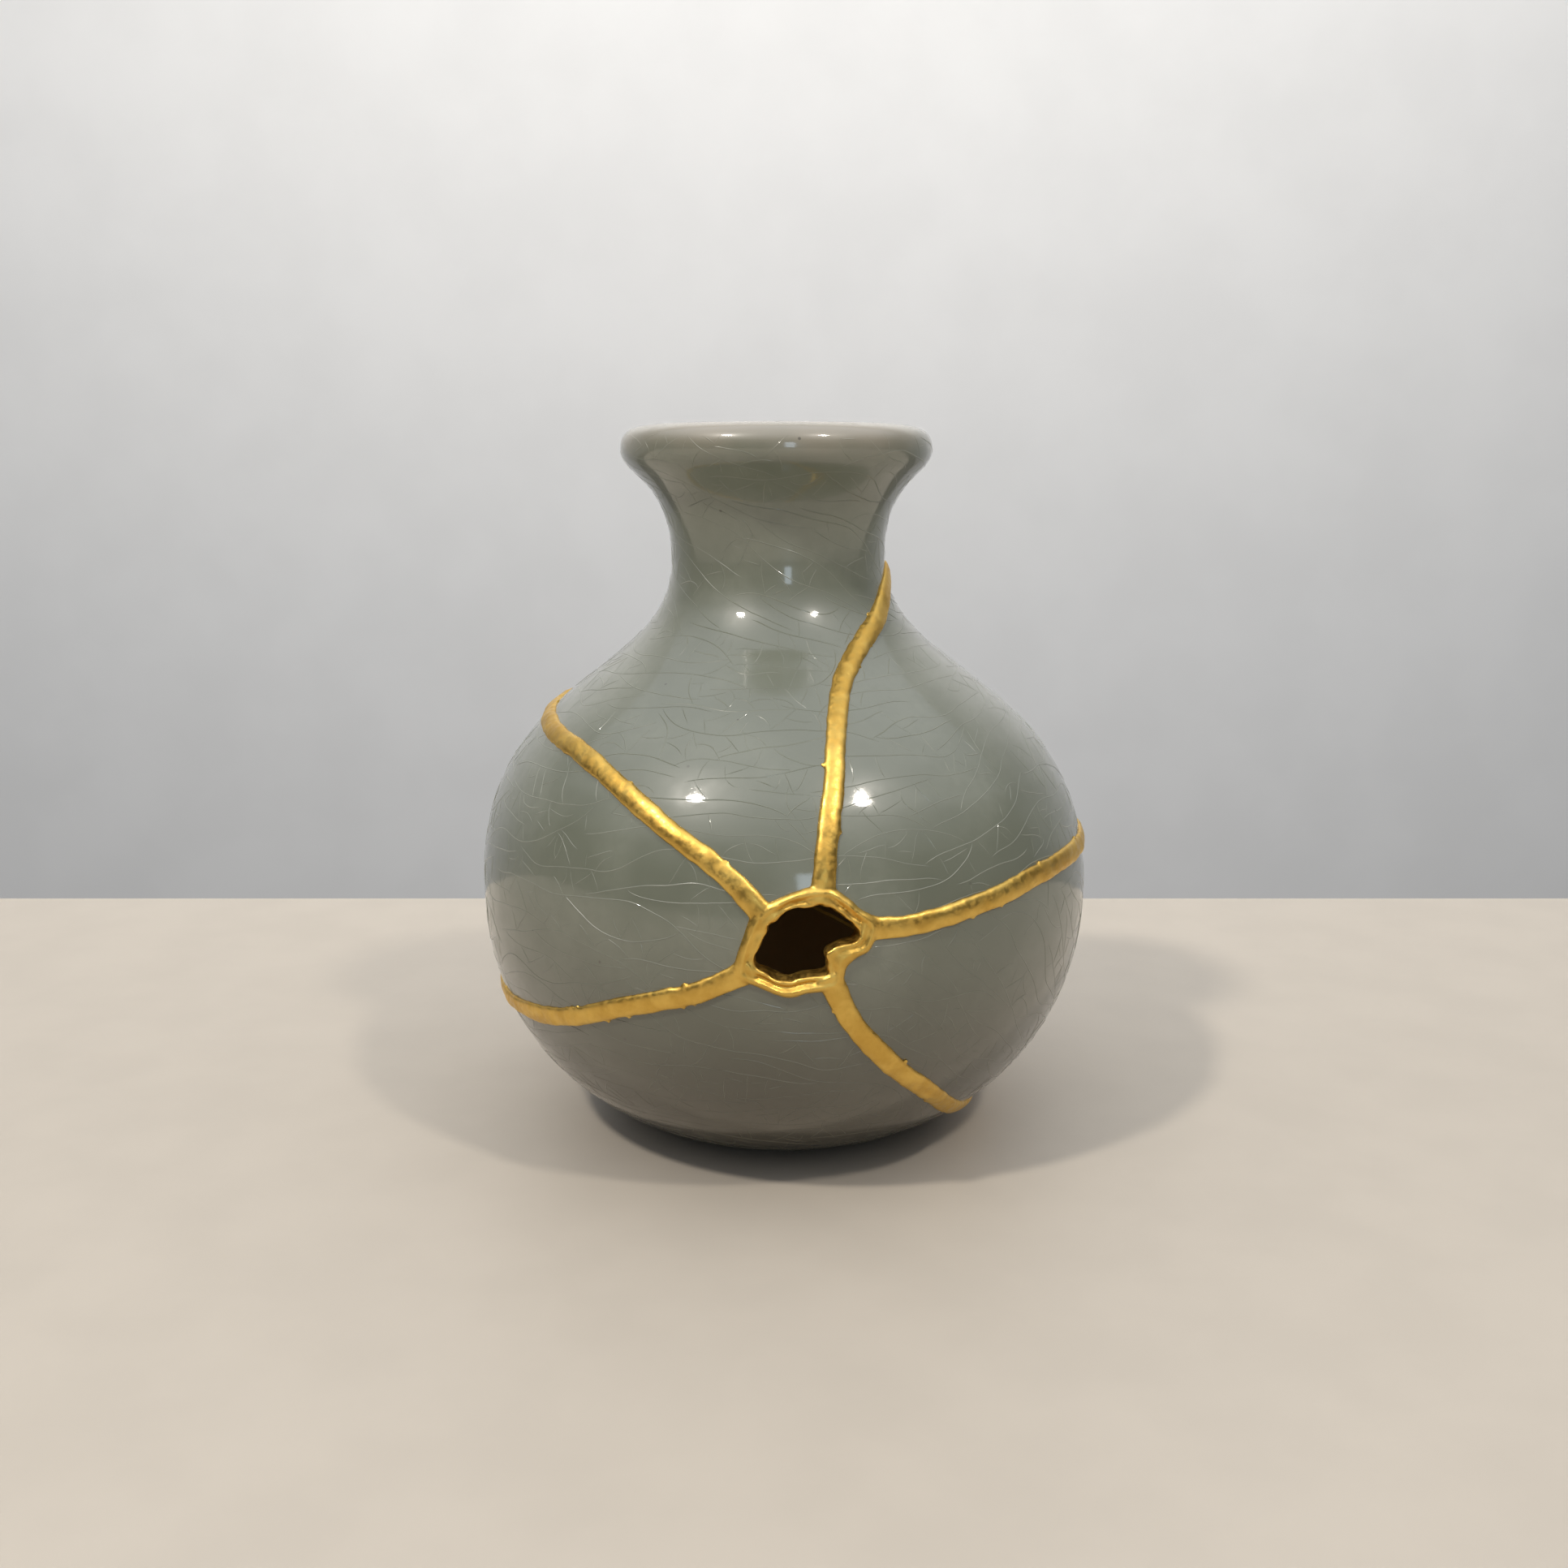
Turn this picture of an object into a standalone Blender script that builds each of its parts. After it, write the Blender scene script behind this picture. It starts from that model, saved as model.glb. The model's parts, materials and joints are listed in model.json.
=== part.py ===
"""Kintsugi vase: a pear shaped bottle vase in five glazed sherds, held together by one gold mend.

Metres, +Z up. The origin is the middle of the foot, on the surface that the vase stands on, and
the hole that the lost sherd left faces -Y. The wall is turned whole, cut along the cracks into
sherds, and the gold fills the cracks, stands proud of the glaze and lines the hole.

A place on the wall is (angle, share): degrees from -Y towards +X, and share of the vase's height.
"""

import math

import bmesh
import bpy
from mathutils import Matrix, Vector
from mathutils.bvhtree import BVHTree
from mathutils.geometry import interpolate_bezier

# Heights of the outline, each one counted from the one before it
BELLY_HEIGHT = 0.0555      # foot to the widest ring of the belly
SHOULDER_RISE = 0.0750     # belly to the narrowest ring of the neck
COLLAR_RISE = 0.0241       # neck to the widest ring of the lip
LIP_RISE = 0.0054          # widest ring of the lip to its crest

# Outer radii, and how far the lip rolls in from its widest ring to its crest
FOOT_RADIUS = 0.0320
BELLY_RADIUS = 0.0700
NECK_RADIUS = 0.0243
LIP_RADIUS = 0.0350
LIP_ROLL = 0.0100

# The wall, the floor and the ring under the foot
WALL = 0.0050
FLOOR = 0.0060
FOOT_RING_WIDTH = 0.0060
FOOT_RECESS = 0.0015
FOOT_CHAMFER = 0.0006

# How far the mouth stands to the left of the foot's middle, after a crooked firing
MOUTH_LEAN = 0.0018

# The gold: bead on the glaze, web in the cracks and lining in the hole
BEAD_WIDTH = 0.0046
BEAD_RISE = 0.0011
WEB = 0.0008
LINING = 0.0012
CLEARANCE = 0.0003
CRACK_LIFT = 0.00015       # how much higher the cracks' gold lies than the ring's and the knots'
CRACK_STEP = 0.00002       # how much higher each crack's gold lies than the one before it

# The knot of gold where three cracks meet: a core through the wall under a low dome
KNOT_CORE = 0.0009         # radius of the core
KNOT_RADIUS = 0.0041
KNOT_RISE = 0.0017

# The shapes of the gold. Flat top of a crack's bead, as a share of its width. The ring's bead as
# (share of its width from the hole outwards, share of the bead's rise). The knot's dome as
# (share of its radius, share of its rise)
BEAD_TOP = 0.55
RING_BEAD = [(0.75, 0.95), (0.30, 1.10), (0.02, 0.45)]
KNOT_DOME = [(0.82, 0.70), (0.37, 0.95), (0.00, 1.00)]

# The curve of the outline: direction in which it leaves the foot, and its handles as shares of
# the distance that each stretch covers
FOOT_FLARE = math.radians(21)
FOOT_HANDLE = 0.58
BELLY_LOW_HANDLE = 0.53
BELLY_HIGH_HANDLE = 0.66
NECK_LOW_HANDLE = 0.37
NECK_HIGH_HANDLE = 0.76
LIP_LOW_HANDLE = 0.27
LIP_HIGH_HANDLE = 0.74
CREST_HANDLE = 0.70

# How fine the turned wall and the swept gold are
TURN_STEPS = 34
INSIDE_STRIDE = 2          # the inside takes every second point of the outside
BELLY_POINTS = 8
SHOULDER_POINTS = 11
COLLAR_POINTS = 5
LIP_POINTS = 3
CURVE_POINTS = 8
RING_POINTS = 4
COURSE_FINENESS = 6        # the cracks follow an outline this many times finer than the wall's
GOLD_STEP = 0.0088
KNOT_SIDES = 10
CUT_MARGIN = 0.0030
JUNCTION_OVERLAP = 0.0004
SAME_PLACE = 0.000001
SHARP_ANGLE = math.radians(35)

HEIGHT = BELLY_HEIGHT + SHOULDER_RISE + COLLAR_RISE + LIP_RISE

# The hole's edge, clockwise from the top left, and beside each point the outer edge of the gold
HOLE_RING = [
    ((1.2, 0.416), (1.2, 0.437)),
    ((6.2, 0.420), (6.8, 0.445)),
    ((8.6, 0.415), (10.6, 0.430)),
    ((10.3, 0.404), (12.8, 0.415)),
    ((12.2, 0.390), (15.6, 0.396)),
    ((11.6, 0.377), (14.0, 0.364)),
    ((9.0, 0.373), (11.6, 0.354)),
    ((6.8, 0.364), (10.2, 0.344)),
    ((7.1, 0.348), (9.8, 0.333)),
    ((6.8, 0.337), (8.6, 0.316)),
    ((3.6, 0.334), (3.8, 0.311)),
    ((0.2, 0.328), (0.0, 0.307)),
    ((-2.6, 0.338), (-4.0, 0.319)),
    ((-4.7, 0.346), (-7.9, 0.333)),
    ((-4.3, 0.362), (-7.4, 0.362)),
    ((-3.2, 0.384), (-6.2, 0.390)),
    ((-1.6, 0.400), (-4.6, 0.414)),
]

# Where three cracks meet behind the vase
RIGHT_MEETING = (150.0, 0.594)
LEFT_MEETING = (200.0, 0.585)
LOW_MEETING = (200.0, 0.260)
MEETINGS = [RIGHT_MEETING, LEFT_MEETING, LOW_MEETING]

# Each crack that leaves the hole: the point of the ring that it starts from, then its course
CRACKS_FROM_HOLE = {
    "top": (1, [(7.6, 0.490), (9.6, 0.545), (12.8, 0.614), (18.9, 0.666), (32.9, 0.709),
                (53.0, 0.744), (74.9, 0.781), (97.0, 0.795), (123.0, 0.745), RIGHT_MEETING]),
    "right": (4, [(21.6, 0.390), (34.4, 0.402), (48.9, 0.419), (65.8, 0.425), (81.7, 0.422),
                  (105.0, 0.432), (130.0, 0.505), RIGHT_MEETING]),
    "low_right": (9, [(10.6, 0.280), (15.9, 0.228), (25.9, 0.162), (40.9, 0.091), (55.0, 0.058),
                      (75.0, 0.046), (110.0, 0.058), (150.0, 0.125), (180.0, 0.200),
                      LOW_MEETING]),
    "low_left": (13, [(-14.0, 0.309), (-27.3, 0.277), (-42.2, 0.238), (-62.1, 0.214),
                      (-90.0, 0.205), (-130.0, 0.228), (LOW_MEETING[0] - 360.0, LOW_MEETING[1])]),
    "left": (16, [(-8.7, 0.452), (-16.6, 0.490), (-30.1, 0.539), (-45.0, 0.573),
                  (-65.7, 0.590), (-86.9, 0.601), (-110.0, 0.606), (-136.0, 0.597),
                  (LEFT_MEETING[0] - 360.0, LEFT_MEETING[1])]),
}

# Each crack between two meetings behind the vase
CRACKS_BEHIND = {
    "back": [RIGHT_MEETING, (174.0, 0.610), LEFT_MEETING],
    "back_link": [LEFT_MEETING, (206.0, 0.490), (197.0, 0.370), LOW_MEETING],
}

# One place on each sherd, which tells the pieces of the cut wall apart
SHERDS = {
    "sherd_mouth": (-40.0, 0.750),
    "sherd_right_shoulder": (45.0, 0.560),
    "sherd_right_side": (60.0, 0.250),
    "sherd_base": (0.0, 0.150),
    "sherd_left_side": (-50.0, 0.400),
}

GLAZE_COLOUR = (0.36, 0.37, 0.31, 1.0)
GOLD_COLOUR = (0.72, 0.45, 0.16, 1.0)


def clear_scene():
    """Remove every object of the scene."""
    for item in list(bpy.data.objects):
        bpy.data.objects.remove(item, do_unlink=True)


def make_material(name, colour, roughness, metallic):
    """A Principled material of one colour."""
    material = bpy.data.materials.new(name)
    material.use_nodes = True
    shader = material.node_tree.nodes["Principled BSDF"]
    shader.inputs["Base Color"].default_value = colour
    shader.inputs["Roughness"].default_value = roughness
    shader.inputs["Metallic"].default_value = metallic
    return material


def bezier(start, start_handle, end_handle, end, count):
    """Points (radius, height) along one Bezier stretch, without its first point."""
    corners = [Vector((x, y, 0.0)) for x, y in (start, start_handle, end_handle, end)]
    return [(p.x, p.y) for p in interpolate_bezier(*corners, count + 1)[1:]]


def outer_outline(fineness=1):
    """The outside as (radius, height) points, from the foot's edge to the crest of the lip."""
    belly_z = BELLY_HEIGHT
    neck_z = belly_z + SHOULDER_RISE
    lip_z = neck_z + COLLAR_RISE
    flare = FOOT_HANDLE * (BELLY_RADIUS - FOOT_RADIUS)
    foot = (FOOT_RADIUS, 0.0)
    belly = (BELLY_RADIUS, belly_z)
    neck = (NECK_RADIUS, neck_z)
    lip = (LIP_RADIUS, lip_z)
    crest = (LIP_RADIUS - LIP_ROLL, HEIGHT)
    points = [foot]
    points += bezier(
        foot,
        (FOOT_RADIUS + flare * math.cos(FOOT_FLARE), flare * math.sin(FOOT_FLARE)),
        (BELLY_RADIUS, belly_z * (1 - BELLY_LOW_HANDLE)),
        belly,
        BELLY_POINTS * fineness,
    )
    points += bezier(
        belly,
        (BELLY_RADIUS, belly_z + SHOULDER_RISE * BELLY_HIGH_HANDLE),
        (NECK_RADIUS, neck_z - SHOULDER_RISE * NECK_LOW_HANDLE),
        neck,
        SHOULDER_POINTS * fineness,
    )
    points += bezier(
        neck,
        (NECK_RADIUS, neck_z + COLLAR_RISE * NECK_HIGH_HANDLE),
        (LIP_RADIUS, lip_z - COLLAR_RISE * LIP_LOW_HANDLE),
        lip,
        COLLAR_POINTS * fineness,
    )
    points += bezier(
        lip,
        (LIP_RADIUS, lip_z + LIP_RISE * LIP_HIGH_HANDLE),
        (crest[0] + LIP_ROLL * CREST_HANDLE, HEIGHT),
        crest,
        LIP_POINTS * fineness,
    )
    return points


def inward(points, index, distance):
    """The outline's point at index, moved into the wall by a distance along its normal."""
    before = points[max(index - 1, 0)]
    after = points[min(index + 1, len(points) - 1)]
    along = Vector((after[0] - before[0], after[1] - before[1])).normalized()
    return (points[index][0] - along.y * distance, points[index][1] + along.x * distance)


def inner_outline():
    """The inside as (radius, height) points, from the crest of the lip to the floor's middle."""
    outside = outer_outline()
    neck_index = BELLY_POINTS + SHOULDER_POINTS
    throat = (NECK_RADIUS - WALL, BELLY_HEIGHT + SHOULDER_RISE)
    crest = (LIP_RADIUS - LIP_ROLL, HEIGHT)
    roll_in = crest[0] - throat[0]
    rise = crest[1] - throat[1]
    points = bezier(
        crest,
        (crest[0] - roll_in * CREST_HANDLE, HEIGHT),
        (throat[0], throat[1] + rise * NECK_HIGH_HANDLE),
        throat,
        COLLAR_POINTS,
    )
    for index in reversed(range(0, neck_index, INSIDE_STRIDE)):
        point = inward(outside, index, WALL)
        if point[1] > FLOOR:
            points.append(point)
    points.append((points[-1][0] - WALL, FLOOR))
    points.append((0.0, FLOOR))
    return points


def foot_outline():
    """The underside as (radius, height) points, from its middle out to the foot's edge."""
    ring_inside = FOOT_RADIUS - FOOT_RING_WIDTH
    return [
        (0.0, FOOT_RECESS),
        (ring_inside - FOOT_CHAMFER, FOOT_RECESS),
        (ring_inside, 0.0),
    ]


def on_wall(place, outline, depth=0.0):
    """The point of the outside at (angle, share), moved into the wall by depth, and its normal."""
    angle, share = math.radians(place[0]), place[1]
    height = share * HEIGHT
    for low, high in zip(outline, outline[1:]):
        if high[1] >= height:
            break
    mix = (height - low[1]) / (high[1] - low[1])
    radius = low[0] + (high[0] - low[0]) * mix
    along = Vector((high[0] - low[0], high[1] - low[1])).normalized()
    outwards = Vector((math.sin(angle), -math.cos(angle), 0.0))
    normal = outwards * along.y - Vector((0.0, 0.0, along.x))
    return outwards * radius + Vector((0.0, 0.0, height)) - normal * depth, normal


def blend(first, second, mix):
    """The place between two (angle, share) places."""
    return (first[0] + (second[0] - first[0]) * mix, first[1] + (second[1] - first[1]) * mix)


def smooth_course(places, closed=False, fineness=CURVE_POINTS):
    """A smooth curve of places through the given ones, with a few between each two of them."""
    count = len(places)
    curve = []
    for index in range(count if closed else count - 1):
        if closed:
            knots = [places[(index + step) % count] for step in (-1, 0, 1, 2)]
        else:
            knots = [places[min(max(index + step, 0), count - 1)] for step in (-1, 0, 1, 2)]
        for step in range(fineness):
            t = step / fineness
            weights = (
                -0.5 * t + t * t - 0.5 * t ** 3,
                1.0 - 2.5 * t * t + 1.5 * t ** 3,
                0.5 * t + 2.0 * t * t - 1.5 * t ** 3,
                -0.5 * t * t + 0.5 * t ** 3,
            )
            angle = sum(weight * knot[0] for weight, knot in zip(weights, knots))
            share = sum(weight * knot[1] for weight, knot in zip(weights, knots))
            curve.append((angle, share))
    if not closed:
        curve.append(places[-1])
    return curve


def even_course(course, outline):
    """The course again, its places a gold step apart, and closer where the wall is narrower."""
    points = [on_wall(place, outline)[0] for place in course]
    reached = [0.0]
    for before, after in zip(points, points[1:]):
        closeness = math.sqrt(BELLY_RADIUS / math.hypot(after.x, after.y))
        reached.append(reached[-1] + (after - before).length * closeness)
    count = max(2, round(reached[-1] / GOLD_STEP))
    even = []
    index = 0
    for number in range(count + 1):
        goal = reached[-1] * number / count
        while index < len(course) - 2 and reached[index + 1] < goal:
            index += 1
        span = reached[index + 1] - reached[index]
        even.append(blend(course[index], course[index + 1], (goal - reached[index]) / span))
    return even


def ring_place(index, distance, outline):
    """The place at a distance from the hole's edge, towards the gold's outer edge."""
    edge, outside = HOLE_RING[index]
    width = (on_wall(outside, outline)[0] - on_wall(edge, outline)[0]).length
    return blend(edge, outside, distance / width)


def crack_courses(outline):
    """Every crack's course, evenly spaced, and whether it starts at the hole."""
    courses = []
    for ring_index, places in CRACKS_FROM_HOLE.values():
        start = ring_place(ring_index, LINING / 2, outline)
        courses.append((smooth_course([start] + places), True))
    for places in CRACKS_BEHIND.values():
        courses.append((smooth_course(places), False))
    return [(even_course(course, outline), start) for course, start in courses]


def skin(rows, closed):
    """A mesh over rows of points: each row is a section, and closed joins the last to the first."""
    mesh = bpy.data.meshes.new("swept")
    work = bmesh.new()
    grid = [[work.verts.new(point) for point in row] for row in rows]
    width = len(rows[0])
    pairs = list(zip(grid, grid[1:]))
    if closed:
        pairs.append((grid[-1], grid[0]))
    for row, following in pairs:
        for index in range(width):
            after = (index + 1) % width
            work.faces.new((row[index], row[after], following[after], following[index]))
    if not closed:
        work.faces.new(list(reversed(grid[0])))
        work.faces.new(grid[-1])
    bmesh.ops.triangulate(work, faces=work.faces)
    bmesh.ops.recalc_face_normals(work, faces=work.faces)
    work.to_mesh(mesh)
    work.free()
    return mesh


def plug(rows):
    """A closed plug whose side runs through rows of two points, an outer and an inner one."""
    mesh = bpy.data.meshes.new("plug")
    work = bmesh.new()
    grid = [[work.verts.new(point) for point in row] for row in rows]
    for row, following in zip(grid, grid[1:] + grid[:1]):
        work.faces.new((row[0], row[1], following[1], following[0]))
    for column in range(2):
        work.faces.new([row[column] for row in grid])
    bmesh.ops.triangulate(work, faces=work.faces)
    bmesh.ops.recalc_face_normals(work, faces=work.faces)
    work.to_mesh(mesh)
    work.free()
    return mesh


def sweep_along(course, outline, section, overlap_start, overlap_end):
    """A section of (sideways, inwards) points carried along a course on the wall."""
    frames = [on_wall(place, outline) for place in course]
    rows = []
    for index, (point, normal) in enumerate(frames):
        before = frames[max(index - 1, 0)][0]
        after = frames[min(index + 1, len(frames) - 1)][0]
        along = (after - before).normalized()
        across = along.cross(normal).normalized()
        if index == 0:
            point = point - along * overlap_start
        if index == len(frames) - 1:
            point = point + along * overlap_end
        rows.append([point + across * side - normal * depth for side, depth in section])
    return skin(rows, closed=False)


def turned(profile, sides):
    """A closed mesh of (radius, height) points, from the axis back to it, turned about +Z."""
    mesh = bpy.data.meshes.new("turned")
    work = bmesh.new()
    verts = [work.verts.new((radius, 0.0, height)) for radius, height in profile]
    edges = [work.edges.new(pair) for pair in zip(verts, verts[1:])]
    bmesh.ops.spin(
        work,
        geom=verts + edges,
        cent=(0.0, 0.0, 0.0),
        axis=(0.0, 0.0, 1.0),
        angle=math.tau,
        steps=sides,
        use_merge=True,
    )
    bmesh.ops.remove_doubles(work, verts=work.verts, dist=SAME_PLACE)
    bmesh.ops.recalc_face_normals(work, faces=work.faces)
    work.to_mesh(mesh)
    work.free()
    return mesh


def turned_at(place, outline, profile):
    """A knot's profile of (radius, depth) points, turned about the wall's normal at a place."""
    centre, normal = on_wall(place, outline)
    mesh = turned([(radius, -depth) for radius, depth in profile], KNOT_SIDES)
    turn = normal.to_track_quat("Z", "Y").to_matrix().to_4x4()
    mesh.transform(Matrix.Translation(centre) @ turn)
    return mesh


def ring_rows(outline, section):
    """Rows round the hole. A section point is (share of the gold's width, distance, depth)."""
    edge = smooth_course([pair[0] for pair in HOLE_RING], closed=True, fineness=RING_POINTS)
    outside = smooth_course([pair[1] for pair in HOLE_RING], closed=True, fineness=RING_POINTS)
    rows = []
    for inner_place, outer_place in zip(edge, outside):
        gap = on_wall(outer_place, outline)[0] - on_wall(inner_place, outline)[0]
        row = []
        for share, distance, depth in section:
            place = blend(inner_place, outer_place, share + distance / gap.length)
            row.append(on_wall(place, outline, depth)[0])
        rows.append(row)
    return rows


def add_object(name, mesh, material=None):
    """An object of the scene for a mesh."""
    item = bpy.data.objects.new(name, mesh)
    bpy.context.scene.collection.objects.link(item)
    if material:
        mesh.materials.clear()
        mesh.materials.append(material)
    return item


def evaluated_mesh(item):
    """A mesh of an object with its modifiers applied."""
    bpy.context.view_layer.update()
    graph = bpy.context.evaluated_depsgraph_get()
    return bpy.data.meshes.new_from_object(item.evaluated_get(graph))


def weld(mesh):
    """Merge the points that a Boolean left in one place, and drop the slivers that this folds flat."""
    work = bmesh.new()
    work.from_mesh(mesh)
    bmesh.ops.triangulate(work, faces=work.faces)
    targets = bmesh.ops.find_doubles(work, verts=work.verts, dist=SAME_PLACE)["targetmap"]
    faces_at = {}
    for face in work.faces:
        corners = frozenset(targets.get(vertex, vertex) for vertex in face.verts)
        faces_at.setdefault(corners, []).append(face)
    folded = [face for faces in faces_at.values() if len(faces) > 1 for face in faces]
    bmesh.ops.delete(work, geom=folded, context="FACES_ONLY")
    bmesh.ops.weld_verts(work, targetmap=targets)
    bare_edges = [edge for edge in work.edges if not edge.link_faces]
    bmesh.ops.delete(work, geom=bare_edges, context="EDGES")
    bare_points = [vertex for vertex in work.verts if not vertex.link_faces]
    bmesh.ops.delete(work, geom=bare_points, context="VERTS")
    work.to_mesh(mesh)
    work.free()


def combine(base, tools, operation, solver="EXACT"):
    """The base's mesh after one Boolean with each tool in turn."""
    for tool in tools:
        tool.display_type = "WIRE"
        tool.hide_render = True
        modifier = base.modifiers.new(tool.name, "BOOLEAN")
        modifier.operation = operation
        modifier.solver = solver
        modifier.object = tool
    mesh = evaluated_mesh(base)
    weld(mesh)
    for item in [base] + tools:
        bpy.data.objects.remove(item, do_unlink=True)
    return mesh


def turned_wall():
    """The whole vase before it broke."""
    outline = foot_outline() + outer_outline() + inner_outline()
    return add_object("turned_wall", turned(outline, TURN_STEPS))


def wall_cutters(courses, outline):
    """A thin fence along each crack, and a plug for the hole, all through the wall."""
    half = WEB / 2 + CLEARANCE
    reach = 2 * max(WALL, FLOOR)
    fence = [(-half, -CUT_MARGIN), (half, -CUT_MARGIN), (half, reach), (-half, reach)]
    cutters = []
    for number, (course, from_hole) in enumerate(courses):
        start = 0.0 if from_hole else JUNCTION_OVERLAP
        mesh = sweep_along(course, outline, fence, start, JUNCTION_OVERLAP)
        cutters.append(add_object(f"crack_cutter_{number}", mesh))
    core = KNOT_CORE + CLEARANCE
    core_profile = [(0.0, -CUT_MARGIN), (core, -CUT_MARGIN), (core, reach), (0.0, reach)]
    for number, meeting in enumerate(MEETINGS):
        mesh = turned_at(meeting, outline, core_profile)
        cutters.append(add_object(f"knot_cutter_{number}", mesh))
    plug_section = [(0.0, LINING + CLEARANCE, -CUT_MARGIN), (0.0, LINING + CLEARANCE, reach)]
    mesh = plug(ring_rows(outline, plug_section))
    cutters.append(add_object("hole_cutter", mesh))
    return cutters


def lean(mesh):
    """Shift a mesh to the left, more and more from the belly up."""
    rise = HEIGHT - BELLY_HEIGHT
    for vertex in mesh.vertices:
        share = max(0.0, (vertex.co.z - BELLY_HEIGHT) / rise)
        vertex.co.x -= MOUTH_LEAN * share


def finish(name, mesh, material):
    """A finished piece: leaning, smooth shaded and in its material."""
    lean(mesh)
    mesh.shade_smooth()
    mesh.set_sharp_from_angle(angle=SHARP_ANGLE)
    mesh.update()
    return add_object(name, mesh, material)


def loose_parts(mesh):
    """The separate bodies of a mesh, as one mesh each."""
    work = bmesh.new()
    work.from_mesh(mesh)
    left = set(work.verts)
    parts = []
    while left:
        front = [left.pop()]
        island = set(front)
        while front:
            for edge in front.pop().link_edges:
                for vertex in edge.verts:
                    if vertex not in island:
                        island.add(vertex)
                        front.append(vertex)
        left -= island
        part = work.copy()
        part.verts.ensure_lookup_table()
        kept = {vertex.index for vertex in island}
        gone = [vertex for vertex in part.verts if vertex.index not in kept]
        bmesh.ops.delete(part, geom=gone, context="VERTS")
        piece = bpy.data.meshes.new("part")
        part.to_mesh(piece)
        part.free()
        parts.append(piece)
    work.free()
    return parts


def build_sherds(courses, outline, glaze):
    """Cut the turned wall along the cracks, and name each piece by the place that lies on it."""
    mesh = combine(turned_wall(), wall_cutters(courses, outline), "DIFFERENCE")
    parts = loose_parts(mesh)
    trees = []
    for part in parts:
        corners = [vertex.co for vertex in part.vertices]
        faces = [face.vertices for face in part.polygons]
        trees.append(BVHTree.FromPolygons(corners, faces))
    for name, place in SHERDS.items():
        point = on_wall(place, outline)[0]
        distances = [tree.find_nearest(point)[3] for tree in trees]
        nearest = distances.index(min(distances))
        finish(name, parts[nearest], glaze)


def build_gold(courses, outline, gold):
    """The mend: a bead and web along each crack, and a lined bead round the hole, as one body."""
    web = WEB / 2
    bead = BEAD_WIDTH / 2
    section = [
        (-web, WALL),
        (web, WALL),
        (web, -CLEARANCE),
        (bead, -CLEARANCE),
        (BEAD_TOP * bead, -BEAD_RISE),
        (-BEAD_TOP * bead, -BEAD_RISE),
        (-bead, -CLEARANCE),
        (-web, -CLEARANCE),
    ]
    ring_section = [
        (0.0, 0.0, WALL),
        (0.0, LINING, WALL),
        (0.0, LINING, -CLEARANCE),
        (1.0, 0.0, -CLEARANCE),
    ]
    ring_section += [(share, 0.0, -rise * BEAD_RISE) for share, rise in RING_BEAD]
    ring = add_object("gold_ring", skin(ring_rows(outline, ring_section), closed=True))
    arms = []
    for number, (course, from_hole) in enumerate(courses):
        lift = CRACK_LIFT + CRACK_STEP * number
        lifted = [(side, depth - lift) for side, depth in section]
        start = 0.0 if from_hole else WEB / 2
        mesh = sweep_along(course, outline, lifted, start, WEB / 2)
        arms.append(add_object(f"gold_arm_{number}", mesh))
    knot = [
        (0.0, WALL + CLEARANCE),
        (KNOT_CORE, WALL + CLEARANCE),
        (KNOT_CORE, -CLEARANCE),
        (KNOT_RADIUS, -CLEARANCE),
    ]
    knot += [(share * KNOT_RADIUS, -rise * KNOT_RISE) for share, rise in KNOT_DOME]
    for meeting in MEETINGS:
        arms.append(add_object("gold_knot", turned_at(meeting, outline, knot)))
    finish("kintsugi_gold", combine(ring, arms, "UNION", "MANIFOLD"), gold)


def main():
    """Build the vase."""
    clear_scene()
    outline = outer_outline(fineness=COURSE_FINENESS)
    courses = crack_courses(outline)
    glaze = make_material("crackle_glaze", GLAZE_COLOUR, 0.15, 0.0)
    gold = make_material("gold_lacquer", GOLD_COLOUR, 0.35, 1.0)
    build_sherds(courses, outline, glaze)
    build_gold(courses, outline, gold)


main()
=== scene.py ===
"""Kintsugi vase: the looks of the glaze, the gold and the plain studio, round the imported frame."""

import bisect
import itertools
import json
import math
import random

import bpy
from mathutils import Matrix, Vector, noise
from mathutils.bvhtree import BVHTree
from mathutils.geometry import interpolate_bezier

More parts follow.
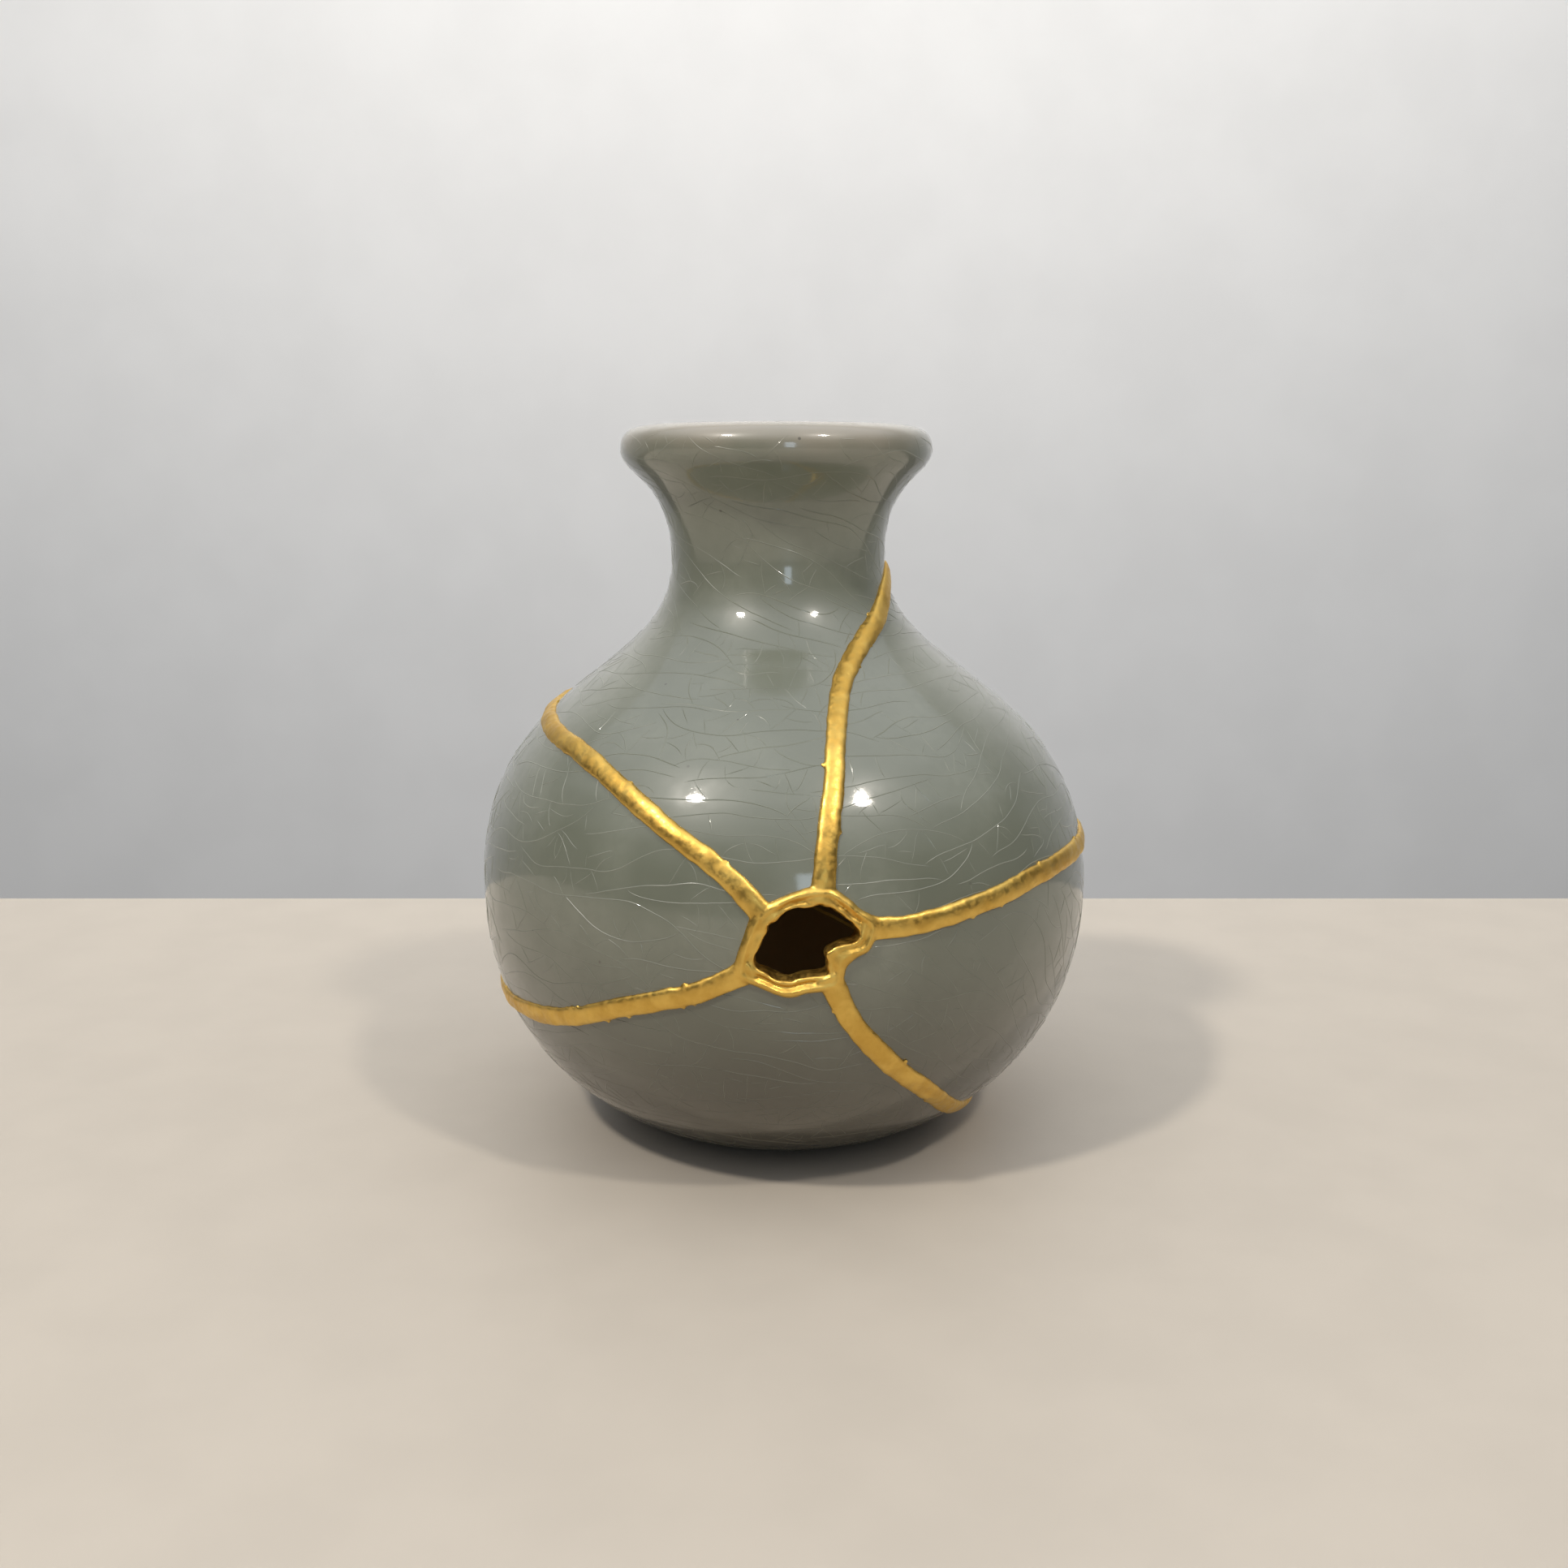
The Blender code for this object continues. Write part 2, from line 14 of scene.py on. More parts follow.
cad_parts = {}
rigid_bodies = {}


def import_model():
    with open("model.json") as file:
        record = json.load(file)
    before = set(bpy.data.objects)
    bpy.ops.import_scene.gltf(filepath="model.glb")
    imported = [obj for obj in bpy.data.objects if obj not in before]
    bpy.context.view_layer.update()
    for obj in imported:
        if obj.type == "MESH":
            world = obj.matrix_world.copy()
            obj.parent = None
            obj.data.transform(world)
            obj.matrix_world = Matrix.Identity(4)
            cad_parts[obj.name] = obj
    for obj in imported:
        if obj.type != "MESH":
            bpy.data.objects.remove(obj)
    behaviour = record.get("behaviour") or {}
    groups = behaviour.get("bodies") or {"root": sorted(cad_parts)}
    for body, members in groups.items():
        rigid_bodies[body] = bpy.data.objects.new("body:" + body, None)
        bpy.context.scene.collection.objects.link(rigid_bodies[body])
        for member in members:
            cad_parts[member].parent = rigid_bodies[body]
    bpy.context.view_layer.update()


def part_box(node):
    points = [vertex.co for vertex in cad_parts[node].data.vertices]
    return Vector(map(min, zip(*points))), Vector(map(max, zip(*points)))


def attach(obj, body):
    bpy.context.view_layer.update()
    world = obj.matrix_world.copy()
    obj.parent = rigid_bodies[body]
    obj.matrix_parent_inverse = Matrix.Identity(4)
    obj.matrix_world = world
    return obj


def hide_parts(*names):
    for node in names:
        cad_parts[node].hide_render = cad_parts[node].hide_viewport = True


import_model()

bl_info = {
    "name": "Kintsugi Vase",
    "version": (1, 0, 0),
    "blender": (4, 5, 0),
    "location": "3D View > Sidebar > Vase",
    "description": "A crackled celadon bottle vase, mended with raised gold seams",
    "category": "Object",
}

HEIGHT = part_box("sherd_mouth")[1].z

# Curve of the outline: the direction in which it leaves the foot, and its handles as shares of
# the distance that each stretch covers
FOOT_FLARE = math.radians(21)
FOOT_HANDLE = 0.58
BELLY_LOW_HANDLE = 0.53
BELLY_HIGH_HANDLE = 0.66
NECK_LOW_HANDLE = 0.37
NECK_HIGH_HANDLE = 0.76
LIP_LOW_HANDLE = 0.27
LIP_HIGH_HANDLE = 0.74
CREST_HANDLE = 0.70

# Rows of points on each stretch of the outline, and inside
BELLY_ROWS = 72
SHOULDER_ROWS = 90
COLLAR_ROWS = 34
LIP_ROWS = 16
INSIDE_STRIDE = 4

# A place on the wall is (angle, share): degrees from the front towards the right, and share of
# the vase's height. The ring round the hole, clockwise from the top left: the hole's edge, the
# gold's outer edge, and how deeply a groove parts the gold's inner lip from its bead
HOLE_RING = [
    ((1.2, 0.416), (1.2, 0.437), 0.75),
    ((6.2, 0.420), (6.8, 0.445), 0.70),
    ((8.6, 0.415), (10.6, 0.430), 0.75),
    ((10.3, 0.404), (12.8, 0.415), 0.65),
    ((12.2, 0.390), (15.6, 0.396), 0.25),
    ((11.6, 0.377), (14.0, 0.364), 0.30),
    ((9.0, 0.373), (11.6, 0.354), 0.15),
    ((6.8, 0.364), (10.2, 0.344), 0.05),
    ((7.1, 0.348), (9.8, 0.333), 0.15),
    ((6.8, 0.337), (8.6, 0.316), 0.45),
    ((3.6, 0.334), (3.8, 0.311), 0.80),
    ((0.2, 0.328), (0.0, 0.307), 0.90),
    ((-2.6, 0.338), (-4.0, 0.319), 0.85),
    ((-4.7, 0.346), (-7.9, 0.333), 0.35),
    ((-4.3, 0.362), (-7.4, 0.362), 0.15),
    ((-3.2, 0.384), (-6.2, 0.390), 0.10),
    ((-1.6, 0.400), (-4.6, 0.414), 0.20),
]

# Where three cracks meet behind the vase
RIGHT_MEETING = (150.0, 0.594)
LEFT_MEETING = (200.0, 0.585)
LOW_MEETING = (200.0, 0.260)
MEETINGS = [RIGHT_MEETING, LEFT_MEETING, LOW_MEETING]

# Each crack that leaves the hole: the point of the ring that it starts from, then its course
CRACKS_FROM_HOLE = {
    "top": (1, [(7.6, 0.490), (9.6, 0.545), (12.8, 0.614), (18.9, 0.666), (32.9, 0.709),
                (53.0, 0.744), (74.9, 0.781), (97.0, 0.795), (123.0, 0.745), RIGHT_MEETING]),
    "right": (4, [(21.6, 0.390), (34.4, 0.402), (48.9, 0.419), (65.8, 0.425), (81.7, 0.422),
                  (105.0, 0.432), (130.0, 0.505), RIGHT_MEETING]),
    "low_right": (9, [(10.6, 0.280), (15.9, 0.228), (25.9, 0.162), (40.9, 0.091), (55.0, 0.058),
                      (75.0, 0.046), (110.0, 0.058), (150.0, 0.125), (180.0, 0.200),
                      LOW_MEETING]),
    "low_left": (13, [(-14.0, 0.309), (-27.3, 0.277), (-42.2, 0.238), (-62.1, 0.214),
                      (-90.0, 0.205), (-130.0, 0.228), (LOW_MEETING[0] - 360.0, LOW_MEETING[1])]),
    "left": (16, [(-8.7, 0.452), (-16.6, 0.490), (-30.1, 0.539), (-45.0, 0.573),
                  (-65.7, 0.590), (-86.9, 0.601), (-110.0, 0.606), (-136.0, 0.597),
                  (LEFT_MEETING[0] - 360.0, LEFT_MEETING[1])]),
}

# Each crack between two meetings behind the vase
CRACKS_BEHIND = {
    "back": [RIGHT_MEETING, (174.0, 0.610), LEFT_MEETING],
    "back_link": [LEFT_MEETING, (206.0, 0.490), (197.0, 0.370), LOW_MEETING],
}

# One place on each sherd, which tells the pieces of the cut wall apart
SHERDS = {
    "sherd_mouth": (-40.0, 0.750),
    "sherd_right_shoulder": (45.0, 0.560),
    "sherd_right_side": (60.0, 0.250),
    "sherd_base": (0.0, 0.150),
    "sherd_left_side": (-50.0, 0.400),
}

COURSE_STEP = 0.0006       # between two rows of a bead
CUT_STEP = 0.0015          # between two rows of a cutter
WEB_STEP = 0.003           # between two rows of a web
WEB_OVERLAP = 0.00004      # how far a web reaches into the sherd on each side
RING_STEPS = 14            # between two points of the ring
CUT_MARGIN = 0.0030
SAME_PLACE = 0.00001
SMOOTH_ANGLE = math.radians(28)
MOST_TRIANGLES = 185000    # of the gold, before its webs

# A bead's section, and how it widens where it leaves the hole
BEAD_POINTS = 16
BEAD_FULLNESS = 0.72
BEAD_FLARE = 0.55
FLARE_REACH = 0.0022
BEAD_UNDERSIDE = 0.0003
UNDERSIDE_SHARE = 0.96
LINING_BULGE = 0.05
KNOT_SUNK = 0.0002

# The crackle: the size of the grid that finds near points, how steadily a line keeps its curl,
# how close to its crack a seam hides it, and how deep its ridge stands in the glaze
CRACKLE_CELL = 0.0012
CURL_KEPT = 0.86
UNDER_GOLD = 0.0013
RIDGE_SUNK = 0.00003
RIDGE_ROOT = 0.00016
SHORTEST_RUN = 4

# How many lines and branches are tried and how far apart, then for the branches their greatest
# length and least turn
LONG_LINES = (9000, 0.0036)
BRANCHES = ((5200, 0.0021, 0.014, 0.6), (5200, 0.0014, 0.008, 0.9))

# The seeds of the crackle's growth, its ridges and the crumbs, and the rows for each crumb
GROWTH_SEED = 41
RIDGE_SEED = 7
CRUMB_SEED = 23
CRUMB_STRIDE = 26

# A point further out than the first is crackle, and one further in than the second is inside
CRACKLE_MARK = 0.000025
INSIDE_MARK = -0.0012
HOLE_CUT = 0.75            # the share of the lining that the hole's cut takes

# The studio: the lamps' distance and colours, the floor and the backdrop, and the camera
VASE_MIDDLE = (0.0, 0.0, 0.075)
LAMP_DISTANCE = 1.5
WINDOW_DISTANCE = 2.4
WARM = (1.0, 0.93, 0.84)
COOL = (0.72, 0.86, 1.0)
PALE = (1.0, 0.98, 0.96)
FLOOR_SIDE = 2.4
FLOOR_FRONT = -1.6
FLOOR_BACK = 0.178
BACKDROP_PLACE = 1.5
BACKDROP_LOW = -0.6
BACKDROP_HIGH = 2.2
LENS = 36.057
SENSOR = 36.0
CAMERA_PLACE = (0.0, -0.3618, 0.1506)
CAMERA_TILT = math.radians(78.58)


def length_prop(name, description, default):
    """A length that the user can change."""
    return bpy.props.FloatProperty(
        name=name, description=description, default=default, min=0.0, precision=5,
        subtype="DISTANCE", unit="LENGTH")


def colour_prop(name, description, default):
    """A colour that the user can change."""
    return bpy.props.FloatVectorProperty(
        name=name, description=description, default=default, min=0.0, max=1.0, size=3,
        subtype="COLOR")


def share_prop(name, description, default, top=1.0):
    """A share or a strength that the user can change."""
    return bpy.props.FloatProperty(
        name=name, description=description, default=default, min=0.0, max=top, subtype="FACTOR")


def power_prop(name, description, default):
    """The power of a light that the user can change."""
    return bpy.props.FloatProperty(
        name=name, description=description, default=default, min=0.0, unit="POWER")


class VaseBody(bpy.types.PropertyGroup):
    """Sizes of the thrown body."""

    belly_height: length_prop("Belly height", "Foot to the widest ring of the belly", 0.0555)
    shoulder_rise: length_prop("Shoulder rise", "Belly to the narrowest ring of the neck", 0.0750)
    collar_rise: length_prop("Collar rise", "Neck to the widest ring of the lip", 0.0241)
    foot_radius: length_prop("Foot radius", "Radius of the foot's edge", 0.0320)
    belly_radius: length_prop("Belly radius", "Radius of the widest ring", 0.0700)
    neck_radius: length_prop("Neck radius", "Radius of the narrowest ring", 0.0243)
    lip_radius: length_prop("Lip radius", "Radius of the lip's widest ring", 0.0350)
    lip_roll: length_prop("Lip roll", "How far the lip rolls in to its crest", 0.0100)
    wall: length_prop("Wall", "Thickness of the wall", 0.0050)
    floor: length_prop("Floor", "Thickness of the floor", 0.0060)
    foot_ring: length_prop("Foot ring", "Width of the ring under the foot", 0.0060)
    foot_recess: length_prop("Foot recess", "Depth inside the foot ring", 0.0015)
    foot_chamfer: length_prop("Foot chamfer", "Slope at the inside of the foot ring", 0.0006)
    mouth_lean: length_prop("Mouth lean", "How far the mouth stands to the left", 0.0018)
    throwing_ring: length_prop("Throwing rings", "Depth of the rings from the wheel", 0.000024)
    ring_pitch: length_prop("Ring pitch", "Height from one throwing ring to the next", 0.0064)
    out_of_round: length_prop("Out of round", "How far the wall wanders in and out", 0.00022)
    turn_steps: bpy.props.IntProperty(
        name="Turn steps", description="Faces round the wall", default=240, min=60, max=400)


class VaseGlaze(bpy.types.PropertyGroup):
    """Colours and relief of the glaze."""

    body: colour_prop("Body", "Main colour of the glaze", (0.160, 0.172, 0.128))
    cloud: colour_prop("Cloud", "Paler clouds in the glaze", (0.212, 0.224, 0.174))
    # Painted shade: the glaze is darkened towards the foot, where the lower belly lies in shade.
    painted_foot_shade: colour_prop("Olive", "Colour towards the foot", (0.058, 0.048, 0.026))
    # The lip's pinkish tone is thin glaze; its paleness on the crest is partly painted light from
    # above.
    lip: colour_prop("Lip", "Colour where the glaze runs thin on the lip", (0.34, 0.30, 0.235))
    inside: colour_prop("Inside", "Dark wall inside", (0.42, 0.26, 0.09))
    speck: colour_prop("Speck", "Iron specks", (0.075, 0.068, 0.050))
    vein: colour_prop("Vein", "Colour of the crackle", (0.36, 0.37, 0.31))
    roughness: share_prop("Roughness", "Roughness of the glaze's skin", 0.055)
    crackle_width: length_prop("Crackle width", "Width of a line of the crackle", 0.00034)
    crackle_rise: length_prop("Crackle rise", "How proud the crackle stands", 0.000055)
    crackle_step: length_prop("Crackle step", "Distance between points of a line", 0.0007)


class VaseGold(bpy.types.PropertyGroup):
    """Sizes and colours of the gold mend."""

    bead_width: length_prop("Bead width", "Width of a seam's bead", 0.0045)
    bead_rise: length_prop("Bead rise", "How proud a bead stands", 0.00120)
    web: length_prop("Web", "Thickness of the gold in a crack", 0.0008)
    lining: length_prop("Lining", "Thickness of the gold on the hole's broken edge", 0.0012)
    sunk: length_prop("Sunk", "How far a bead's underside lies in the glaze", 0.00018)
    knot_radius: length_prop("Knot radius", "Radius of the gold where seams meet", 0.0040)
    knot_rise: length_prop("Knot rise", "Rise of the gold where seams meet", 0.0015)
    grain: length_prop("Grain", "Size of the mesh's grain before it is thinned", 0.00027)
    # Colour is the gold and also its painted highlight on the crests; shade is a darker gold that
    # the clouds mix in at random and that the hollows keep as painted shade.
    colour: colour_prop("Colour", "Gold on the crests", (0.82, 0.54, 0.13))
    shade: colour_prop("Shade", "Gold in the hollows", (0.56, 0.31, 0.05))
    roughness: share_prop("Roughness", "Roughness of the gold", 0.40)


class VaseStage(bpy.types.PropertyGroup):
    """The plain studio."""

    floor: colour_prop("Floor", "Colour of the floor", (0.53, 0.475, 0.40))
    backdrop: colour_prop("Backdrop", "Colour of the backdrop", (0.83, 0.83, 0.82))
    sky: colour_prop("Sky", "Colour of the soft light all round", (0.84, 0.88, 0.95))
    sky_low: share_prop("Low sky", "Strength of the soft light from the sides", 0.08, 10.0)
    sky_high: share_prop("High sky", "Strength of the soft light from overhead", 1.25, 10.0)
    left_power: power_prop("Left lamp", "Power of the lamp on the left", 9.5)
    right_power: power_prop("Right lamp", "Power of the lamp on the right", 5.6)
    wash_power: power_prop("Wall wash", "Power of the light on the backdrop", 20.0)
    window_power: power_prop("Window", "Power of the cool light in front", 3.0)
    lamp_size: length_prop("Lamp size", "Width of each lamp", 0.12)


def activate(item):
    """Leave one object selected and active."""
    bpy.ops.object.select_all(action="DESELECT")
    item.select_set(True)
    bpy.context.view_layer.objects.active = item


def add_object(name, verts, faces):
    """A new object for a list of points and faces."""
    mesh = bpy.data.meshes.new(name)
    mesh.from_pydata(verts, [], faces)
    mesh.update()
    item = bpy.data.objects.new(name, mesh)
    bpy.context.scene.collection.objects.link(item)
    return item


def join(items):
    """One object out of several, named after the first."""
    activate(items[0])
    for item in items[1:]:
        item.select_set(True)
    bpy.ops.object.join()
    return items[0]


def apply_modifier(item, kind, **values):
    """Add a modifier with its values, and apply it at once."""
    activate(item)
    bpy.ops.object.modifier_add(type=kind)
    modifier = item.modifiers[-1]
    for name, value in values.items():
        setattr(modifier, name, value)
    bpy.ops.object.modifier_apply(modifier=modifier.name)


def cut_or_join(item, tool, operation):
    """One Boolean between closed meshes, after which the tool is gone."""
    apply_modifier(item, "BOOLEAN", operation=operation, solver="MANIFOLD", object=tool)
    bpy.data.objects.remove(tool, do_unlink=True)


def bezier(start, start_handle, end_handle, end, count):
    """Points (radius, height) along one Bezier stretch, without its first point."""
    corners = [Vector((x, y, 0.0)) for x, y in (start, start_handle, end_handle, end)]
    return [(p.x, p.y) for p in interpolate_bezier(*corners, count + 1)[1:]]


def outer_outline(body):
    """The outside as (radius, height) points, from the foot's edge to the crest of the lip."""
    belly_z = body.belly_height
    neck_z = belly_z + body.shoulder_rise
    lip_z = neck_z + body.collar_rise
    lip_rise = HEIGHT - lip_z
    flare = FOOT_HANDLE * (body.belly_radius - body.foot_radius)
    foot = (body.foot_radius, 0.0)
    belly = (body.belly_radius, belly_z)
    neck = (body.neck_radius, neck_z)
    lip = (body.lip_radius, lip_z)
    crest = (body.lip_radius - body.lip_roll, HEIGHT)
    points = [foot]
    points += bezier(
        foot,
        (foot[0] + flare * math.cos(FOOT_FLARE), flare * math.sin(FOOT_FLARE)),
        (belly[0], belly_z * (1 - BELLY_LOW_HANDLE)),
        belly,
        BELLY_ROWS,
    )
    points += bezier(
        belly,
        (belly[0], belly_z + body.shoulder_rise * BELLY_HIGH_HANDLE),
        (neck[0], neck_z - body.shoulder_rise * NECK_LOW_HANDLE),
        neck,
        SHOULDER_ROWS,
    )
    points += bezier(
        neck,
        (neck[0], neck_z + body.collar_rise * NECK_HIGH_HANDLE),
        (lip[0], lip_z - body.collar_rise * LIP_LOW_HANDLE),
        lip,
        COLLAR_ROWS,
    )
    points += bezier(
        lip,
        (lip[0], lip_z + lip_rise * LIP_HIGH_HANDLE),
        (crest[0] + body.lip_roll * CREST_HANDLE, HEIGHT),
        crest,
        LIP_ROWS,
    )
    return points


def inner_outline(body, outside):
    """The inside as (radius, height) points, from the crest of the lip to the floor's middle."""
    throat = (body.neck_radius - body.wall, body.belly_height + body.shoulder_rise)
    crest = (body.lip_radius - body.lip_roll, HEIGHT)
    roll_in = crest[0] - throat[0]
    rise = crest[1] - throat[1]
    points = bezier(
        crest,
        (crest[0] - roll_in * CREST_HANDLE, HEIGHT),
        (throat[0], throat[1] + rise * NECK_HIGH_HANDLE),
        throat,
        COLLAR_ROWS,
    )
    for index in reversed(range(1, BELLY_ROWS + SHOULDER_ROWS, INSIDE_STRIDE)):
        before, here, after = outside[index - 1:index + 2]
        along = Vector((after[0] - before[0], after[1] - before[1])).normalized()
        point = (here[0] - along.y * body.wall, here[1] + along.x * body.wall)
        if point[1] > body.floor:
            points.append(point)
    points.append((points[-1][0] - body.wall, body.floor))
    points.append((0.0, body.floor))
    return points


def foot_outline(body):
    """The underside as (radius, height) points, from its middle out to the foot's edge."""
    ring_inside = body.foot_radius - body.foot_ring
    return [
        (0.0, body.foot_recess),
        (ring_inside - body.foot_chamfer, body.foot_recess),
        (ring_inside, 0.0),
    ]


class Wall:
    """The outside of the vase, as it left the wheel."""

    def __init__(self, body):
        self.body = body
        self.outline = outer_outline(body)
        self.heights = [point[1] for point in self.outline]

    def stretch(self, height):
        """The outline's radius at a height, and its direction there."""
        index = min(max(bisect.bisect_left(self.heights, height), 1), len(self.heights) - 1)
        low, high = self.outline[index - 1], self.outline[index]
        mix = (height - low[1]) / (high[1] - low[1])
        along = Vector((high[0] - low[0], high[1] - low[1])).normalized()
        return low[0] + (high[0] - low[0]) * mix, along

    def at(self, place, depth=0.0):
        """The point of the outside at (angle, share), moved into the wall, and its normal."""
        angle = math.radians(place[0])
        height = place[1] * HEIGHT
        radius, along = self.stretch(height)
        outwards = Vector((math.sin(angle), -math.cos(angle), 0.0))
        normal = outwards * along.y - Vector((0.0, 0.0, along.x))
        return outwards * radius + Vector((0.0, 0.0, height)) - normal * depth, normal

    def rise(self, point):
        """How far a point stands outside the wall's outside, or inside it where negative."""
        radius, along = self.stretch(min(max(point.z, 0.0), HEIGHT))
        return (math.hypot(point.x, point.y) - radius) * along.y

    def bend(self, item):
        """Give a mesh the throwing rings, the unevenness and the lean of the fired vase."""
        body = self.body
        lean_rise = HEIGHT - body.belly_height
        for vertex in item.data.vertices:
            point = vertex.co
            radius = math.hypot(point.x, point.y)
            if radius > body.wall:
                shift = throwing_mark(body, math.atan2(point.x, -point.y), point.z)
                point.x += point.x / radius * shift
                point.y += point.y / radius * shift
            share = max(0.0, (point.z - body.belly_height) / lean_rise)
            point.x -= body.mouth_lean * share


def fade(value, low, high):
    """0 below low, 1 above high, and a smooth way between."""
    share = min(max((value - low) / (high - low), 0.0), 1.0)
    return share * share * (3.0 - 2.0 * share)


def throwing_mark(body, angle, height):
    """How far the wall stands out at a place: a spiral of shallow rings, and slow swells."""
    turn = angle / math.tau
    strength = fade(height, 0.010, 0.050) * (1.0 - fade(height, 0.112, 0.128))
    strength *= 0.45 + 0.75 * fade(height, 0.070, 0.090)
    wobble = noise.noise(Vector((math.sin(angle), math.cos(angle), height / 0.018)))
    phase = height / body.ring_pitch + turn + 0.45 * wobble
    ring = math.sin(math.tau * phase) + 0.35 * math.sin(math.tau * (1.73 * phase + 0.2))
    swell = noise.noise(
        Vector((1.3 * math.sin(angle), 1.3 * math.cos(angle), height / 0.045 + 7.0)))
    low_fade = fade(height, 0.004, 0.020)
    return body.throwing_ring * strength * ring + body.out_of_round * swell * low_fade


def blend(first, second, mix):
    """The place between two (angle, share) places."""
    return (first[0] + (second[0] - first[0]) * mix, first[1] + (second[1] - first[1]) * mix)


def smooth_course(rows, closed=False, fineness=12):
    """A smooth curve through rows of numbers, with a few between each two of them."""
    count = len(rows)
    curve = []
    for index in range(count if closed else count - 1):
        if closed:
            knots = [rows[(index + step) % count] for step in (-1, 0, 1, 2)]
        else:
            knots = [rows[min(max(index + step, 0), count - 1)] for step in (-1, 0, 1, 2)]
        for step in range(fineness):
            t = step / fineness
            weights = (
                -0.5 * t + t * t - 0.5 * t ** 3,
                1.0 - 2.5 * t * t + 1.5 * t ** 3,
                0.5 * t + 2.0 * t * t - 1.5 * t ** 3,
                -0.5 * t * t + 0.5 * t ** 3,
            )
            width = len(knots[0])
            curve.append(tuple(
                sum(weight * knot[column] for weight, knot in zip(weights, knots))
                for column in range(width)))
    if not closed:
        curve.append(tuple(rows[-1]))
    return curve


def even_course(course, wall, step):
    """The course again, with its places a step apart."""
    points = [wall.at(place)[0] for place in course]
    reached = [0.0]
    for before, after in zip(points, points[1:]):
        reached.append(reached[-1] + (after - before).length)
    count = max(2, round(reached[-1] / step))
    even = []
    index = 0
    for number in range(count + 1):
        goal = reached[-1] * number / count
        while index < len(course) - 2 and reached[index + 1] < goal:
            index += 1
        span = reached[index + 1] - reached[index]
        even.append(blend(course[index], course[index + 1], (goal - reached[index]) / span))
    return even


def crack_courses(wall, gold, step):
    """Every crack's course, evenly spaced, and whether it starts at the hole."""
    courses = []
    for ring_index, places in CRACKS_FROM_HOLE.values():
        edge, outside = HOLE_RING[ring_index][:2]
        width = (wall.at(outside)[0] - wall.at(edge)[0]).length
        start = blend(edge, outside, gold.lining / 2 / width)
        courses.append((smooth_course([start] + places), True))
    for places in CRACKS_BEHIND.values():
        courses.append((smooth_course(places), False))
    return [(even_course(course, wall, step), start) for course, start in courses]


def course_frames(course, wall):
    """A point, a normal and a sideways direction for each place of a course."""
    points = [wall.at(place) for place in course]
    frames = []
    for index, (point, normal) in enumerate(points):
        before = points[max(index - 1, 0)][0]
        after = points[min(index + 1, len(points) - 1)][0]
        along = (after - before).normalized()
        frames.append((point, normal, along.cross(normal).normalized(), along))
    return frames


def skin_over(rows, closed=False):
    """Points and faces of a closed skin over rows of points, as many in each row."""
    width = len(rows[0])
    verts = [point for row in rows for point in row]
    pairs = [(index, index + 1) for index in range(len(rows) - 1)]
    if closed:
        pairs.append((len(rows) - 1, 0))
    faces = []
    for low, high in pairs:
        for column in range(width):
            after = (column + 1) % width
            faces.append((
                low * width + column,
                high * width + column,
                high * width + after,
                low * width + after,
            ))
    if not closed:
        faces.append(tuple(range(width)))
        faces.append(tuple(range(len(verts) - 1, len(verts) - width - 1, -1)))
    return verts, faces


def outwards(item):
    """Turn the faces of a closed mesh outwards."""
    activate(item)
    bpy.ops.object.mode_set(mode="EDIT")
    bpy.ops.mesh.select_all(action="SELECT")
    bpy.ops.mesh.normals_make_consistent(inside=False)
    bpy.ops.object.mode_set(mode="OBJECT")
    return item


def swept(name, rows, closed=False):
    """An object with a closed skin over rows of points."""
    return outwards(add_object(name, *skin_over(rows, closed)))


def turned_wall(body, wall):
    """The whole vase: its profile is extruded from one point, then spun about the axis."""
    profile = foot_outline(body) + wall.outline + inner_outline(body, wall.outline)
    bpy.ops.object.select_all(action="DESELECT")
    bpy.ops.mesh.primitive_plane_add(size=body.wall)
    item = bpy.context.object
    item.name = "turned_wall"
    bpy.ops.object.mode_set(mode="EDIT")
    bpy.ops.mesh.select_all(action="SELECT")
    bpy.ops.mesh.merge(type="CENTER")
    bpy.ops.transform.translate(value=(profile[0][0], 0.0, profile[0][1]))
    for before, after in zip(profile, profile[1:]):
        step = (after[0] - before[0], 0.0, after[1] - before[1])
        bpy.ops.mesh.extrude_region_move(TRANSFORM_OT_translate={"value": step})
    bpy.ops.mesh.select_all(action="SELECT")
    bpy.ops.mesh.spin(
        steps=body.turn_steps, angle=math.tau, center=(0.0, 0.0, 0.0), axis=(0.0, 0.0, 1.0))
    bpy.ops.mesh.select_all(action="SELECT")
    bpy.ops.mesh.remove_doubles(threshold=SAME_PLACE)
    bpy.ops.mesh.normals_make_consistent(inside=False)
    bpy.ops.object.mode_set(mode="OBJECT")
    return item


def ring_frames(wall, gold):
    """For each step round the hole: its two places, the groove's depth and the gold's width."""
    flat = [edge + outside + (groove,) for edge, outside, groove in HOLE_RING]
    frames = []
    for a, b, c, d, groove in smooth_course(flat, closed=True, fineness=RING_STEPS):
        width = (wall.at((c, d))[0] - wall.at((a, b))[0]).length
        frames.append(((a, b), (c, d), groove, width))
    return frames


